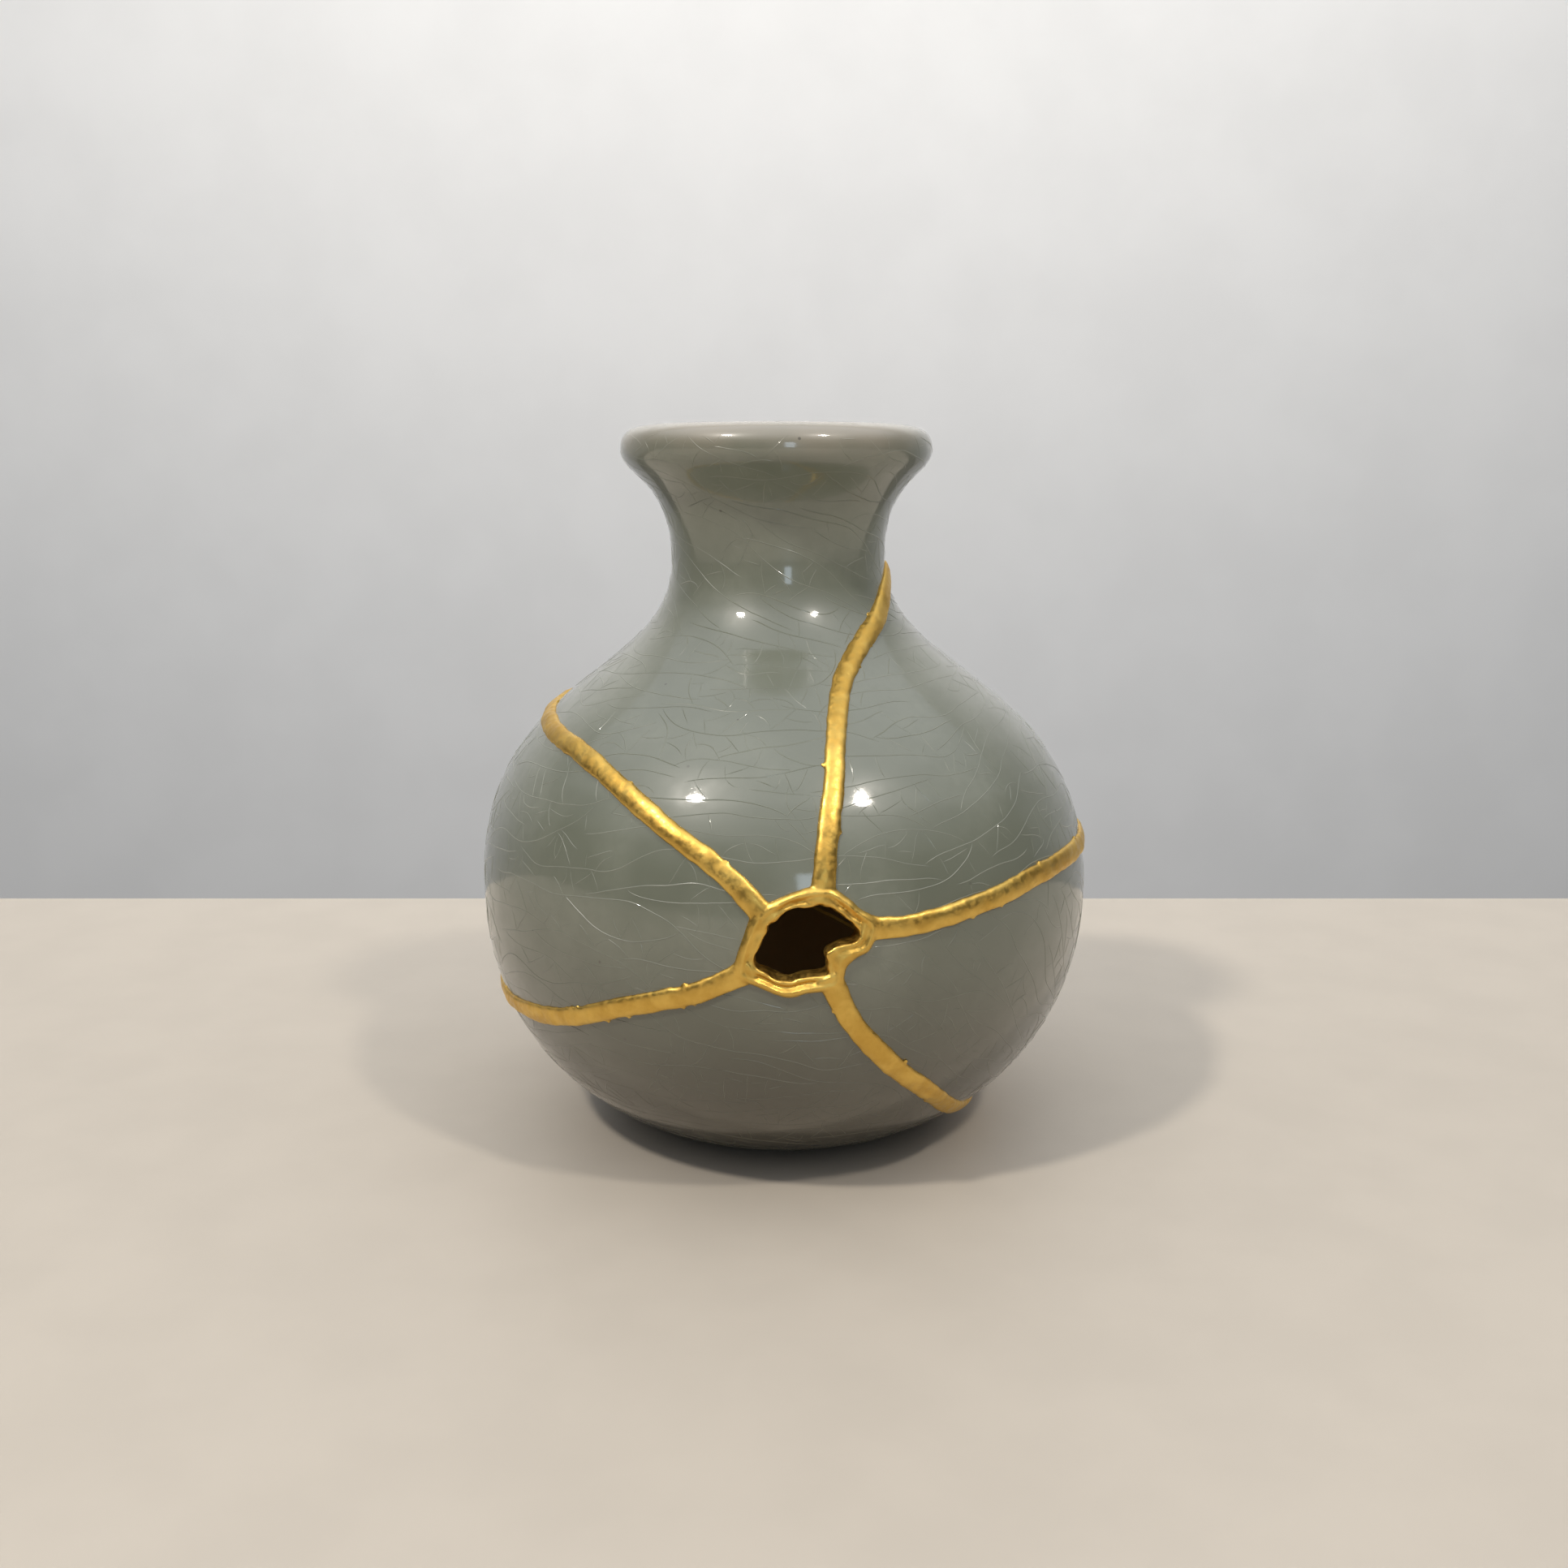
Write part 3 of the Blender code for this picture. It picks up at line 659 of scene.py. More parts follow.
def cut_wall(body, wall, gold, courses):
    """Cut the turned wall through along every crack, and cut the hole out of it."""
    item = turned_wall(body, wall)
    half = gold.web / 2
    reach = 2 * max(body.wall, body.floor)
    for number, (course, from_hole) in enumerate(courses):
        rows = []
        frames = course_frames(course, wall)
        for index, (point, normal, across, along) in enumerate(frames):
            if index == 0 and not from_hole:
                point = point - along * half
            if index == len(frames) - 1:
                point = point + along * half
            rows.append([
                point - across * half + normal * CUT_MARGIN,
                point + across * half + normal * CUT_MARGIN,
                point + across * half - normal * reach,
                point - across * half - normal * reach,
            ])
        cut_or_join(item, swept(f"crack_{number}", rows), "DIFFERENCE")
    rows = []
    for edge, outside, _, width in ring_frames(wall, gold):
        place = blend(edge, outside, HOLE_CUT * gold.lining / width)
        rows.append((wall.at(place, -CUT_MARGIN)[0], wall.at(place, reach)[0]))
    count = len(rows)
    verts = [row[0] for row in rows] + [row[1] for row in rows]
    faces = [(i, (i + 1) % count, count + (i + 1) % count, count + i) for i in range(count)]
    faces.append(tuple(reversed(range(count))))
    faces.append(tuple(range(count, 2 * count)))
    cut_or_join(item, outwards(add_object("hole", verts, faces)), "DIFFERENCE")
    return item


def separate_sherds(item, wall):
    """Part the cut wall into its loose pieces, and name each one by the place that lies on it."""
    before = set(bpy.data.objects)
    activate(item)
    bpy.ops.object.mode_set(mode="EDIT")
    bpy.ops.mesh.select_all(action="SELECT")
    bpy.ops.mesh.separate(type="LOOSE")
    bpy.ops.object.mode_set(mode="OBJECT")
    parts = [item] + [part for part in bpy.data.objects if part not in before]
    sherds = {}
    for name, place in SHERDS.items():
        point = wall.at(place)[0]
        sherds[name] = min(
            parts, key=lambda part: (part.closest_point_on_mesh(point)[1] - point).length)
    if len(set(sherds.values())) != len(SHERDS):
        raise RuntimeError("the cracks don't part the wall into its sherds")
    for part in parts:
        if part not in sherds.values():
            bpy.data.objects.remove(part, do_unlink=True)
    return sherds


class PointGrid:
    """Points in cells, so that the near ones are found fast."""

    def __init__(self, cell):
        self.cell = cell
        self.cells = {}

    def key(self, point):
        """The cell of a point."""
        return tuple(math.floor(value / self.cell) for value in point)

    def add(self, point, mark=None):
        """Keep a point, with a mark of its own."""
        self.cells.setdefault(self.key(point), []).append((mark, point))

    def near(self, point, reach):
        """The distance and the mark of the nearest point within reach."""
        best = None
        span = max(1, math.ceil(reach / self.cell))
        middle = self.key(point)
        steps = range(-span, span + 1)
        for i, j, k in itertools.product(steps, steps, steps):
            for mark, other in self.cells.get((middle[0] + i, middle[1] + j, middle[2] + k), ()):
                gap = (other - point).length
                if gap < reach and (best is None or gap < best[0]):
                    best = (gap, mark)
        return best


class Crackle:
    """The crackle of the glaze: lines that grow over the wall until they meet another one."""

    def __init__(self, wall, step):
        self.wall = wall
        self.step = step
        self.draw = random.Random(GROWTH_SEED)
        self.lines = []
        self.grid = PointGrid(CRACKLE_CELL)

    def grow(self, place, heading, length, pull, wander):
        """Places of a line from a place, until it meets a line, leaves the wall or ends."""
        places = [place]
        curl = 0.0
        for number in range(int(length / self.step)):
            curl = CURL_KEPT * curl + self.draw.gauss(0.0, wander)
            heading += curl + pull * math.sin(pull_to(places[-1]) - heading)
            angle, share = places[-1]
            radius, along = self.wall.stretch(share * HEIGHT)
            angle += math.degrees(self.step * math.cos(heading) / radius)
            share += self.step * math.sin(heading) * along.y / HEIGHT
            if not 0.015 < share < 0.985:
                break
            places.append((angle, share))
            if number < 3:
                continue
            met = self.grid.near(self.wall.at(places[-1])[0], 0.75 * self.step)
            if met:
                places[-1] = met[1]
                break
        return places

    def keep(self, places):
        """Add a line to those that others meet."""
        self.lines.append(places)
        for place in places:
            self.grid.add(self.wall.at(place)[0], place)

    def long_lines(self, tries, spacing):
        """Long lines that run round the wall, each well clear of the others where it starts."""
        for _ in range(tries):
            place = (self.draw.uniform(-180.0, 180.0), self.draw.uniform(0.03, 0.95))
            radius = self.wall.stretch(place[1] * HEIGHT)[0]
            if self.draw.random() > radius / self.wall.body.belly_radius:
                continue
            if self.grid.near(self.wall.at(place)[0], spacing):
                continue
            heading = pull_to(place) + self.draw.gauss(0.0, 0.12)
            length = self.draw.uniform(0.010, 0.038)
            first = self.grow(place, heading, length, 0.05, 0.020)
            second = self.grow(place, heading + math.pi, length, -0.05, 0.020)
            line = list(reversed(second))[:-1] + first
            if len(line) > 8:
                self.keep(line)

    def branches(self, tries, spacing, longest, lowest_turn):
        """Short lines that leave the others sideways. Some end before they meet another."""
        for _ in range(tries):
            line = self.draw.choice(self.lines)
            index = self.draw.randrange(len(line))
            place = line[index]
            ahead = line[min(index + 1, len(line) - 1)]
            behind = line[max(index - 1, 0)]
            point = self.wall.at(place)[0]
            gap = self.wall.at(ahead)[0] - self.wall.at(behind)[0]
            radius = math.hypot(point.x, point.y)
            across = math.radians(ahead[0] - behind[0]) * radius
            up = math.copysign(math.sqrt(max(gap.length_squared - across ** 2, 0.0)), gap.z)
            turn = self.draw.uniform(lowest_turn, math.pi - lowest_turn) * self.draw.choice((-1, 1))
            heading = math.atan2(up, across) + turn
            length = self.draw.uniform(0.25, 1.0) * longest
            places = self.grow(place, heading, length, 0.0, 0.045)
            if len(places) < 5:
                continue
            middle = self.wall.at(places[len(places) // 2])[0]
            if not self.grid.near(middle, spacing):
                self.keep(places)


def pull_to(place):
    """The heading that long lines take at a place: level, and steeper low on the right."""
    angle, share = place
    slope = 0.10 * noise.noise(Vector((angle / 38.0, share * 5.0, 3.0)))
    right = fade(angle, 8.0, 24.0) * (1.0 - fade(angle, 75.0, 95.0))
    low = fade(share, 0.06, 0.12) * (1.0 - fade(share, 0.33, 0.40))
    neck = fade(share, 0.68, 0.78)
    return slope * 4.0 - 0.75 * right * low - 0.35 * neck


def grow_crackle(wall, glaze):
    """The whole net of the crackle."""
    crackle = Crackle(wall, glaze.crackle_step)
    crackle.long_lines(*LONG_LINES)
    for family in BRANCHES:
        crackle.branches(*family)
    return crackle.lines


def within(place, ring):
    """Whether a place lies inside a closed ring of places."""
    angle = (place[0] + 180.0) % 360.0 - 180.0
    inside = False
    for (a, b), (c, d) in zip(ring, ring[1:] + ring[:1]):
        if (b > place[1]) != (d > place[1]):
            if angle < a + (c - a) * (place[1] - b) / (d - b):
                inside = not inside
    return inside


def crackle_runs(lines, wall, gold, courses):
    """The lines without the stretches that lie under the gold or in the hole."""
    ring = [blend(edge, outside, 0.6) for edge, outside, _, _ in ring_frames(wall, gold)]
    covered = PointGrid(UNDER_GOLD)
    for place in [place for course, _ in courses for place in course[::2]] + ring:
        covered.add(wall.at(place)[0])
    runs = []
    for places in lines:
        run = []
        for place in places:
            if within(place, ring) or covered.near(wall.at(place)[0], UNDER_GOLD):
                runs.append(run)
                run = []
            else:
                run.append(place)
        runs.append(run)
    return [run for run in runs if len(run) >= SHORTEST_RUN]


def crackle_ridge(run, wall, glaze, draw):
    """A low ridge along one line, thinner at its ends and sunk a little into the glaze."""
    half = glaze.crackle_width / 2 * draw.uniform(0.75, 1.15)
    rise = glaze.crackle_rise * draw.uniform(0.7, 1.2)
    rows = []
    frames = course_frames(run, wall)
    last = len(frames) - 1
    for index, (point, normal, across, _) in enumerate(frames):
        share = min(1.0, 0.25 + min(index, last - index) / 3.0)
        rows.append([
            point - across * half * share - normal * RIDGE_SUNK,
            point + normal * rise * share,
            point + across * half * share - normal * RIDGE_SUNK,
            point - normal * RIDGE_ROOT,
        ])
    return rows


def raise_crackle(sherds, wall, gold, glaze, courses):
    """Set the crackle on the sherds as fine ridges."""
    runs = crackle_runs(grow_crackle(wall, glaze), wall, gold, courses)
    draw = random.Random(RIDGE_SEED)
    trees = {}
    for name, item in sherds.items():
        corners = [vertex.co for vertex in item.data.vertices]
        faces = [tuple(face.vertices) for face in item.data.polygons]
        trees[name] = BVHTree.FromPolygons(corners, faces)
    ridges = {name: ([], []) for name in sherds}
    for run in runs:
        middle = wall.at(run[len(run) // 2])[0]
        name = min(trees, key=lambda each: trees[each].find_nearest(middle)[3])
        verts, faces = skin_over(crackle_ridge(run, wall, glaze, draw))
        kept_verts, kept_faces = ridges[name]
        start = len(kept_verts)
        kept_verts += verts
        kept_faces += [tuple(start + corner for corner in face) for face in faces]
    for name, (verts, faces) in ridges.items():
        join([sherds[name], outwards(add_object(f"crackle_{name}", verts, faces))])


def mark_surface(item, wall):
    """Write where the glaze is an inside wall and where it is crackle, for the material."""
    mesh = item.data
    inside = mesh.attributes.new("inside_wall", "FLOAT", "POINT")
    crackle = mesh.attributes.new("crackle", "FLOAT", "POINT")
    for index, vertex in enumerate(mesh.vertices):
        rise = wall.rise(vertex.co)
        depth = 1.0 if rise < INSIDE_MARK and vertex.co.z > wall.body.floor * 0.9 else 0.0
        inside.data[index].value = depth * (1.0 - fade(vertex.co.z, 0.120, 0.152))
        crackle.data[index].value = 1.0 if rise > CRACKLE_MARK else 0.0


def finish_piece(item, name, node, material):
    """Name a piece, give it its material and its place in the frame."""
    item.name = name
    item.data.name = name
    item.data.materials.clear()
    item.data.materials.append(material)
    activate(item)
    bpy.ops.object.shade_smooth_by_angle(angle=SMOOTH_ANGLE)
    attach(item, "root")
    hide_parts(node)


class Nodes:
    """A short hand for building a material's nodes."""

    def __init__(self, name):
        self.material = bpy.data.materials.new(name)
        self.material.use_nodes = True
        self.tree = self.material.node_tree
        self.shader = self.tree.nodes["Principled BSDF"]
        self.place = self.add("ShaderNodeTexCoord").outputs["Object"]

    def add(self, kind, inputs=None, **values):
        """A node with its values and its inputs, which are numbers or other nodes' outputs."""
        node = self.tree.nodes.new(kind)
        for name, value in values.items():
            setattr(node, name, value)
        for name, value in (inputs or {}).items():
            socket = node.inputs[name]
            if isinstance(value, bpy.types.NodeSocket):
                self.tree.links.new(value, socket)
            else:
                socket.default_value = value
        return node

    def noise(self, scale, detail=2.0, distortion=0.0):
        """Soft noise from 0 to 1, scale in cells per metre."""
        node = self.add("ShaderNodeTexNoise", {
            "Vector": self.place, "Scale": scale, "Detail": detail,
            "Distortion": distortion})
        return node.outputs["Fac"]

    def ramp(self, value, low, high, to_low=0.0, to_high=1.0):
        """A value from low to high brought to another range, smooth at its ends."""
        node = self.add("ShaderNodeMapRange", {
            "Value": value, "From Min": low, "From Max": high, "To Min": to_low,
            "To Max": to_high}, interpolation_type="SMOOTHSTEP")
        return node.outputs["Result"]

    def math(self, operation, first, second=0.0):
        """One sum."""
        return self.add("ShaderNodeMath", {0: first, 1: second}, operation=operation).outputs[0]

    def mix(self, share, first, second):
        """One colour over another."""
        node = self.add("ShaderNodeMix", {0: share, 6: first, 7: second}, data_type="RGBA")
        return node.outputs[2]

    def attribute(self, name):
        """A value that the mesh carries."""
        return self.add("ShaderNodeAttribute", attribute_name=name).outputs["Fac"]

    def bump(self, height, distance, strength, under=None):
        """Relief from a height of 0 to 1."""
        inputs = {"Height": height, "Distance": distance, "Strength": strength}
        if under is not None:
            inputs["Normal"] = under
        return self.add("ShaderNodeBump", inputs).outputs["Normal"]

    def link(self, output, name):
        """Join an output to one of the shader's inputs."""
        self.tree.links.new(output, self.shader.inputs[name])


def rgba(colour):
    """A colour with its alpha."""
    return (*colour, 1.0)


def glaze_material(glaze):
    """Crackled celadon: a glossy coat over clouded grey green, with painted shade towards the foot,
    and a pinkish lip where the glaze runs thin, paler there as painted light from above.
    """
    make = Nodes("crackle_glaze")
    height = make.add("ShaderNodeSeparateXYZ", {0: make.place}).outputs["Z"]
    clouds = make.ramp(make.noise(26.0, 3.0, 0.4), 0.35, 0.68)
    colour = make.mix(clouds, rgba(glaze.body), rgba(glaze.cloud))
    mottle = make.ramp(make.noise(420.0, 3.0), 0.38, 0.70, 0.0, 0.35)
    colour = make.mix(mottle, colour, rgba(glaze.body))
    wander = make.math("MULTIPLY", make.noise(45.0, 2.0), 0.012)
    # Painted shade: the colour darkens from about 8 cm down to the foot, where the lower belly lies
    # in shade.
    low = make.ramp(make.math("ADD", height, wander), 0.084, 0.014)
    colour = make.mix(low, colour, rgba(glaze.painted_foot_shade))
    # The crest of the lip: the pinkish tone of thin glaze, made paler as painted light from above.
    crest = make.ramp(make.math("ADD", height, wander), 0.157, 0.167)
    colour = make.mix(crest, colour, rgba(glaze.lip))
    vein = make.math("MULTIPLY", make.attribute("crackle"), 0.24)
    colour = make.mix(vein, colour, rgba(glaze.vein))
    cells = make.add("ShaderNodeTexVoronoi", {"Vector": make.place, "Scale": 190.0})
    speck = make.ramp(cells.outputs["Distance"], 0.075, 0.045, 0.0, 0.75)
    rare = make.ramp(make.noise(70.0, 1.0), 0.56, 0.62)
    colour = make.mix(make.math("MULTIPLY", speck, rare), colour, rgba(glaze.speck))
    inside = make.attribute("inside_wall")
    colour = make.mix(inside, colour, rgba(glaze.inside))
    make.link(colour, "Base Color")
    rough = make.ramp(make.noise(160.0, 2.0), 0.3, 0.7, 0.30, 0.42)
    make.link(make.math("MAXIMUM", rough, make.math("MULTIPLY", inside, 0.8)), "Roughness")
    dull = make.math("MAXIMUM", inside, make.math("MULTIPLY", make.attribute("crackle"), 0.8))
    make.link(make.math("SUBTRACT", 1.0, dull), "Coat Weight")
    ripple = make.bump(make.noise(150.0, 2.0), 0.000016, 0.5)
    grain = make.bump(make.noise(5200.0, 2.0), 0.000006, 0.6, ripple)
    make.link(grain, "Normal")
    make.link(grain, "Coat Normal")
    make.shader.inputs["Coat Roughness"].default_value = glaze.roughness
    make.shader.inputs["Coat IOR"].default_value = 1.55
    make.shader.inputs["IOR"].default_value = 1.5
    return make.material


def gold_material(gold):
    """Gold powder on lacquer: satin, uneven in tone, with painted shade in the hollows and painted
    highlights on the crests, and finely sparkling.
    """
    make = Nodes("gold_lacquer")
    clouds = make.ramp(make.noise(170.0, 4.0, 0.5), 0.36, 0.66)
    colour = make.mix(clouds, rgba(gold.shade), rgba(gold.colour))
    # Painted light: the crests, found by their pointiness, are lightened towards the crest colour,
    # so the hollows keep a painted shade.
    pointed = make.add("ShaderNodeNewGeometry").outputs["Pointiness"]
    crest = make.ramp(pointed, 0.44, 0.53)
    colour = make.mix(make.math("MULTIPLY", crest, 0.6), colour, rgba(gold.colour))
    make.link(colour, "Base Color")
    make.shader.inputs["Metallic"].default_value = 1.0
    rough = make.ramp(make.noise(900.0, 2.0), 0.3, 0.7, gold.roughness * 0.8, gold.roughness * 1.3)
    make.link(rough, "Roughness")
    dents = make.bump(make.noise(420.0, 3.0), 0.00010, 0.5)
    grain = make.bump(make.noise(4200.0, 2.0), 0.000012, 0.7, dents)
    make.link(grain, "Normal")
    return make.material


def plain_material(name, colour, scale):
    """A plain studio surface with a faint unevenness."""
    make = Nodes(name)
    soft = make.ramp(make.noise(scale, 3.0), 0.3, 0.7)
    paler = tuple(min(1.0, value * 1.04) for value in colour)
    make.link(make.mix(soft, rgba(colour), rgba(paler)), "Base Color")
    make.shader.inputs["Roughness"].default_value = 0.55
    return make.material


def wave(distance, seed, length):
    """Smooth noise from -1 to 1 along a line."""
    return noise.noise(Vector((distance / length, seed * 3.7, seed * 1.3)))


def bead_rows(course, wall, gold, seed, from_hole):
    """Rows of points of a seam's bead: uneven in width and rise, and wider at the hole."""
    frames = course_frames(course, wall)
    rows = []
    last = len(frames) - 1
    half = gold.bead_width / 2
    under = gold.sunk + BEAD_UNDERSIDE
    for index, (point, normal, across, _) in enumerate(frames):
        reached = index * COURSE_STEP
        left = last * COURSE_STEP - reached
        flare = math.exp(-reached / FLARE_REACH) if from_hole else 0.0
        sides = []
        for side in (-1.0, 1.0):
            width = half * (1.0 + 0.13 * wave(reached, seed + side, 0.0085))
            width += half * 0.07 * wave(reached, seed + 5 + side, 0.0024)
            sides.append(width * (1.0 + BEAD_FLARE * flare))
        rise = gold.bead_rise * (1.0 + 0.16 * wave(reached, seed + 9, 0.011))
        lean = 0.16 * wave(reached, seed + 13, 0.016)
        if left < half:
            rise *= 0.9
        row = []
        for step in range(BEAD_POINTS + 1):
            turn = math.pi * step / BEAD_POINTS
            x = -math.cos(turn)
            width = sides[0] if x < 0 else sides[1]
            height = rise * math.sin(turn) ** BEAD_FULLNESS
            row.append(point + across * (x * width + lean * height) + normal * (height - gold.sunk))
        row.append(point + across * sides[1] * UNDERSIDE_SHARE - normal * under)
        row.append(point - across * sides[0] * UNDERSIDE_SHARE - normal * under)
        rows.append(row)
    return rows


def ring_rows(wall, gold, wall_depth):
    """Rows of the gold round the hole: lining, torn inner lip, groove, bead and outer edge."""
    rows = []
    reached = 0.0
    before = None
    for edge, outside, groove, width in ring_frames(wall, gold):
        here = wall.at(edge)[0]
        reached += (here - before).length if before else 0.0
        before = here
        tear = 0.10 * wave(reached, 31, 0.0017) + 0.10 * wave(reached, 37, 0.0042)
        lip = 0.62 + 0.30 * wave(reached, 41, 0.0023)
        crest = 1.08 + 0.14 * wave(reached, 43, 0.009)
        dip = min(lip, crest) * (1.0 - 1.25 * groove)
        outer = 1.0 + 0.07 * wave(reached, 47, 0.0031)
        inner = LINING_BULGE * wave(reached, 53, 0.0037)
        section = [
            (0.10 + inner, wall_depth),
            (0.04 + tear + inner, 0.66 * wall_depth),
            (-0.02 + tear - inner, 0.33 * wall_depth),
            (0.00 + tear, 0.00010),
            (0.00 + tear, -0.5 * lip * gold.bead_rise),
            (0.07 + tear, -0.95 * lip * gold.bead_rise),
            (0.16 + 0.6 * tear, -lip * gold.bead_rise),
            (0.25 + 0.3 * tear, -0.5 * (lip + dip) * gold.bead_rise),
            (0.35, -dip * gold.bead_rise),
            (0.47, -0.5 * (dip + crest) * gold.bead_rise),
            (0.58, -crest * gold.bead_rise),
            (0.72, -0.93 * crest * gold.bead_rise),
            (0.86 * outer, -0.68 * crest * gold.bead_rise),
            (0.96 * outer, -0.30 * crest * gold.bead_rise),
            (1.00 * outer, gold.sunk),
            (0.95 * outer, gold.sunk + 0.0003),
            (gold.lining / width, gold.sunk + 0.0004),
            (gold.lining / width, wall_depth),
        ]
        rows.append([wall.at(blend(edge, outside, share), depth)[0] for share, depth in section])
    return rows


def low_dome(place, wall, radius, rise):
    """A low dome of gold on the wall, from a sphere pressed flat."""
    point, normal = wall.at(place)
    bpy.ops.object.select_all(action="DESELECT")
    bpy.ops.mesh.primitive_uv_sphere_add(segments=32, ring_count=20, radius=radius)
    item = bpy.context.object
    turn = normal.to_track_quat("Z", "Y").to_matrix().to_4x4()
    flat = Matrix.Diagonal((1.0, 1.0, rise / radius, 1.0))
    item.data.transform(Matrix.Translation(point - normal * KNOT_SUNK) @ turn @ flat)
    return item


def crumbs(courses, wall, gold):
    """Small crumbs of gold along the edges of the beads."""
    draw = random.Random(CRUMB_SEED)
    items = []
    for course, _ in courses:
        frames = course_frames(course, wall)
        for _ in range(len(frames) // CRUMB_STRIDE):
            point, normal, across, along = draw.choice(frames[3:-3])
            side = draw.choice((-1.0, 1.0)) * gold.bead_width / 2 * draw.uniform(0.93, 1.10)
            radius = draw.uniform(0.00026, 0.00048)
            bpy.ops.object.select_all(action="DESELECT")
            bpy.ops.mesh.primitive_ico_sphere_add(subdivisions=1, radius=radius)
            item = bpy.context.object
            long = draw.uniform(1.0, 2.4)
            turn = Matrix((across, along, normal)).transposed().to_4x4()
            item.data.transform(
                Matrix.Translation(point + across * side + normal * 0.0001)
                @ turn @ Matrix.Diagonal((1.0, long, 0.8, 1.0)))
            items.append(item)
    return items


def dent(item, name, size, strength):
    """Move a mesh in and out along its normals by soft clouds of a size."""
    texture = bpy.data.textures.new(name, "CLOUDS")
    texture.noise_scale = size
    texture.noise_depth = 1
    apply_modifier(item, "DISPLACE", texture=texture, texture_coords="LOCAL",
                   strength=strength, mid_level=0.5)


def gold_mend(body, wall, gold):
    """The whole mend: beads and ring fused and softened like lacquer, with a web in each crack."""
    courses = crack_courses(wall, gold, COURSE_STEP)
    parts = [swept("gold_ring", ring_rows(wall, gold, body.wall), closed=True)]
    for number, (course, from_hole) in enumerate(courses):
        rows = bead_rows(course, wall, gold, 100 + 20 * number, from_hole)
        parts.append(swept(f"gold_seam_{number}", rows))
    for meeting in MEETINGS:
        parts.append(low_dome(meeting, wall, gold.knot_radius, gold.knot_rise))
    parts += crumbs(courses, wall, gold)
    item = join(parts)
    apply_modifier(item, "REMESH", mode="VOXEL", voxel_size=gold.grain, adaptivity=0.0)
    apply_modifier(item, "SMOOTH", factor=0.5, iterations=4)
    dent(item, "dents", 0.0050, 0.00034)
    dent(item, "pits", 0.0013, 0.00007)
    triangles = sum(len(face.vertices) - 2 for face in item.data.polygons)
    if triangles > MOST_TRIANGLES:
        apply_modifier(item, "DECIMATE", ratio=MOST_TRIANGLES / triangles)
    half = gold.web / 2 + WEB_OVERLAP
    for number, (course, _) in enumerate(courses):
        rows = []
        coarse = even_course(course, wall, WEB_STEP)
        for point, normal, across, _ in course_frames(coarse, wall):
            top = point + normal * 0.4 * gold.bead_rise
            low = point - normal * body.wall
            rows.append([top - across * half, top + across * half,
                         low + across * half, low - across * half])
        cut_or_join(item, swept(f"gold_web_{number}", rows), "UNION")
    return item


class VASE_OT_sherds(bpy.types.Operator):
    """Turn the body, break it along the cracks and glaze the five sherds"""

    bl_idname = "vase.sherds"
    bl_label = "Glazed Sherds"

    def execute(self, context):
        scene = context.scene
        body, glaze, gold = scene.vase_body, scene.vase_glaze, scene.vase_gold
        wall = Wall(body)
        courses = crack_courses(wall, gold, CUT_STEP)
        sherds = separate_sherds(cut_wall(body, wall, gold, courses), wall)
        raise_crackle(sherds, wall, gold, glaze, courses)
        material = glaze_material(glaze)
        for node, item in sherds.items():
            mark_surface(item, wall)
            wall.bend(item)
            finish_piece(item, f"glazed_{node}", node, material)
        return {"FINISHED"}


class VASE_OT_gold_mend(bpy.types.Operator):
    """Lay the gold in the cracks and round the hole"""

    bl_idname = "vase.gold_mend"
    bl_label = "Gold Mend"

    def execute(self, context):
        scene = context.scene
        body, gold = scene.vase_body, scene.vase_gold
        wall = Wall(body)
        item = gold_mend(body, wall, gold)
        wall.bend(item)
        finish_piece(item, "gold_mend", "kintsugi_gold", gold_material(gold))
        return {"FINISHED"}


def add_plane(name, corners, material):
    """A flat stage surface."""
    item = add_object(name, corners, [(0, 1, 2, 3)])
    item.data.materials.append(material)


def add_lamp(name, place, target, size, power, colour):
    """A soft lamp at a place, round where it has one size and a rectangle where it has two."""
    light = bpy.data.lights.new(name, "AREA")
    light.shape = "DISK" if len(size) == 1 else "RECTANGLE"
    light.size = size[0]
    light.size_y = size[-1]
    light.energy = power
    light.color = colour
    item = bpy.data.objects.new(name, light)
    item.visible_camera = False
    bpy.context.scene.collection.objects.link(item)
    place = Vector(place)
    item.location = place
    item.rotation_euler = (Vector(target) - place).to_track_quat("-Z", "Y").to_euler()


def around(side, up, distance):
    """A place at a distance from the vase's middle, by degrees to the right and degrees up."""
    side, up = math.radians(side), math.radians(up)
    offset = Vector((math.sin(side) * math.cos(up), -math.cos(side) * math.cos(up), math.sin(up)))
    return Vector(VASE_MIDDLE) + offset * distance


def soft_sky(stage):
    """Soft light from all round, which grows stronger towards overhead."""
    world = bpy.data.worlds.new("soft_studio")
    world.use_nodes = True
    tree = world.node_tree
    sky = tree.nodes["Background"]
    sky.inputs["Color"].default_value = rgba(stage.sky)
    direction = tree.nodes.new("ShaderNodeTexCoord")
    split = tree.nodes.new("ShaderNodeSeparateXYZ")
    strength = tree.nodes.new("ShaderNodeMapRange")
    strength.interpolation_type = "SMOOTHSTEP"
    strength.inputs["From Min"].default_value = 0.25
    strength.inputs["From Max"].default_value = 1.0
    strength.inputs["To Min"].default_value = stage.sky_low
    strength.inputs["To Max"].default_value = stage.sky_high
    tree.links.new(direction.outputs["Generated"], split.inputs[0])
    tree.links.new(split.outputs["Z"], strength.inputs["Value"])
    tree.links.new(strength.outputs["Result"], sky.inputs["Strength"])
    return world


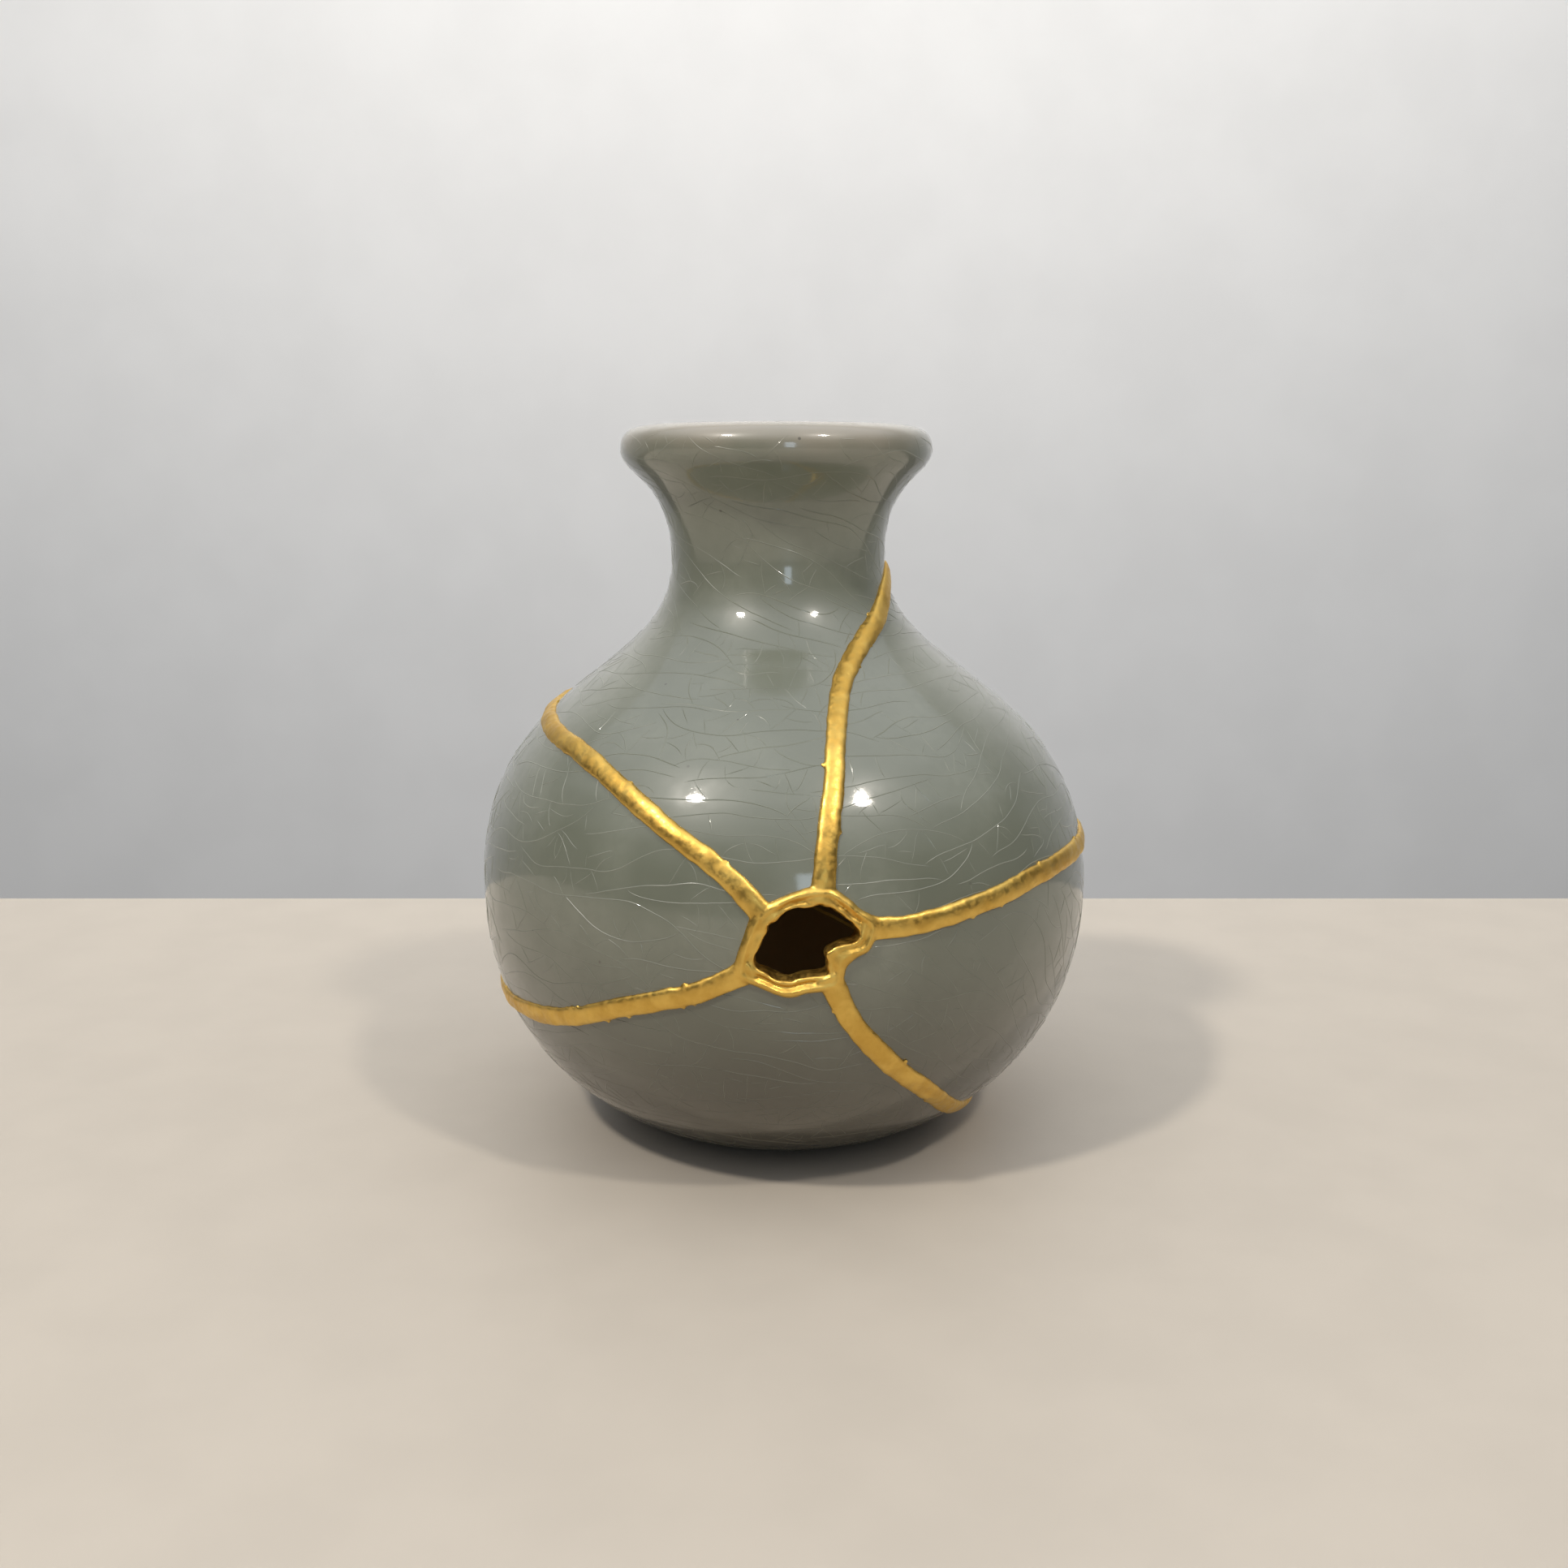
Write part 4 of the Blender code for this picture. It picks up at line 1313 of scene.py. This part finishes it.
class VASE_OT_stage(bpy.types.Operator):
    """Set the plain floor, the backdrop, the soft lights and the camera"""

    bl_idname = "vase.stage"
    bl_label = "Studio"

    def execute(self, context):
        stage = context.scene.vase_stage
        floor = plain_material("studio_floor", stage.floor, 40.0)
        backdrop = plain_material("studio_backdrop", stage.backdrop, 8.0)
        side, far = FLOOR_SIDE, BACKDROP_PLACE
        add_plane("studio_floor", [
            (-side, FLOOR_FRONT, 0.0), (side, FLOOR_FRONT, 0.0),
            (side, FLOOR_BACK, 0.0), (-side, FLOOR_BACK, 0.0)], floor)
        add_plane("studio_backdrop", [
            (-2 * side, far, BACKDROP_LOW), (2 * side, far, BACKDROP_LOW),
            (2 * side, far, BACKDROP_HIGH), (-2 * side, far, BACKDROP_HIGH)], backdrop)
        context.scene.world = soft_sky(stage)
        lamp = (stage.lamp_size,)
        add_lamp("lamp_left", around(-46.0, 51.0, LAMP_DISTANCE), VASE_MIDDLE, lamp,
                 stage.left_power, WARM)
        add_lamp("lamp_right", around(44.0, 51.0, LAMP_DISTANCE), VASE_MIDDLE, lamp,
                 stage.right_power, WARM)
        add_lamp("wall_wash", (0.0, 0.2, 1.25), (0.0, far, 1.05), (2.4, 0.4),
                 stage.wash_power, PALE)
        add_lamp("window", around(9.5, 10.0, WINDOW_DISTANCE), VASE_MIDDLE, (0.30, 0.75),
                 stage.window_power, COOL)
        context.scene.view_settings.view_transform = "Standard"
        camera = bpy.data.cameras.new("camera")
        camera.lens = LENS
        camera.sensor_width = SENSOR
        item = bpy.data.objects.new("camera", camera)
        item.location = CAMERA_PLACE
        item.rotation_euler = (CAMERA_TILT, 0.0, 0.0)
        context.scene.collection.objects.link(item)
        context.scene.camera = item
        return {"FINISHED"}


class VASE_PT_panel(bpy.types.Panel):
    """The vase's pieces, sizes and colours."""

    bl_idname = "VASE_PT_panel"
    bl_label = "Kintsugi Vase"
    bl_space_type = "VIEW_3D"
    bl_region_type = "UI"
    bl_category = "Vase"

    def draw(self, context):
        for operator in OPERATORS:
            self.layout.operator(operator.bl_idname)
        for name in SETTINGS:
            box = self.layout.box()
            group = getattr(context.scene, name)
            for prop in group.__annotations__:
                box.prop(group, prop)


SETTINGS = {
    "vase_body": VaseBody,
    "vase_glaze": VaseGlaze,
    "vase_gold": VaseGold,
    "vase_stage": VaseStage,
}
OPERATORS = [VASE_OT_sherds, VASE_OT_gold_mend, VASE_OT_stage]


def register():
    """Make the settings, the operators and the panel known to Blender."""
    for name, group in SETTINGS.items():
        bpy.utils.register_class(group)
        setattr(bpy.types.Scene, name, bpy.props.PointerProperty(type=group))
    for operator in OPERATORS:
        bpy.utils.register_class(operator)
    bpy.utils.register_class(VASE_PT_panel)


def unregister():
    """Take them out again."""
    bpy.utils.unregister_class(VASE_PT_panel)
    for operator in reversed(OPERATORS):
        bpy.utils.unregister_class(operator)
    for name, group in SETTINGS.items():
        delattr(bpy.types.Scene, name)
        bpy.utils.unregister_class(group)


def main():
    """Build the pieces and the studio."""
    register()
    bpy.ops.vase.sherds()
    bpy.ops.vase.gold_mend()
    bpy.ops.vase.stage()


if __name__ == "__main__":
    main()
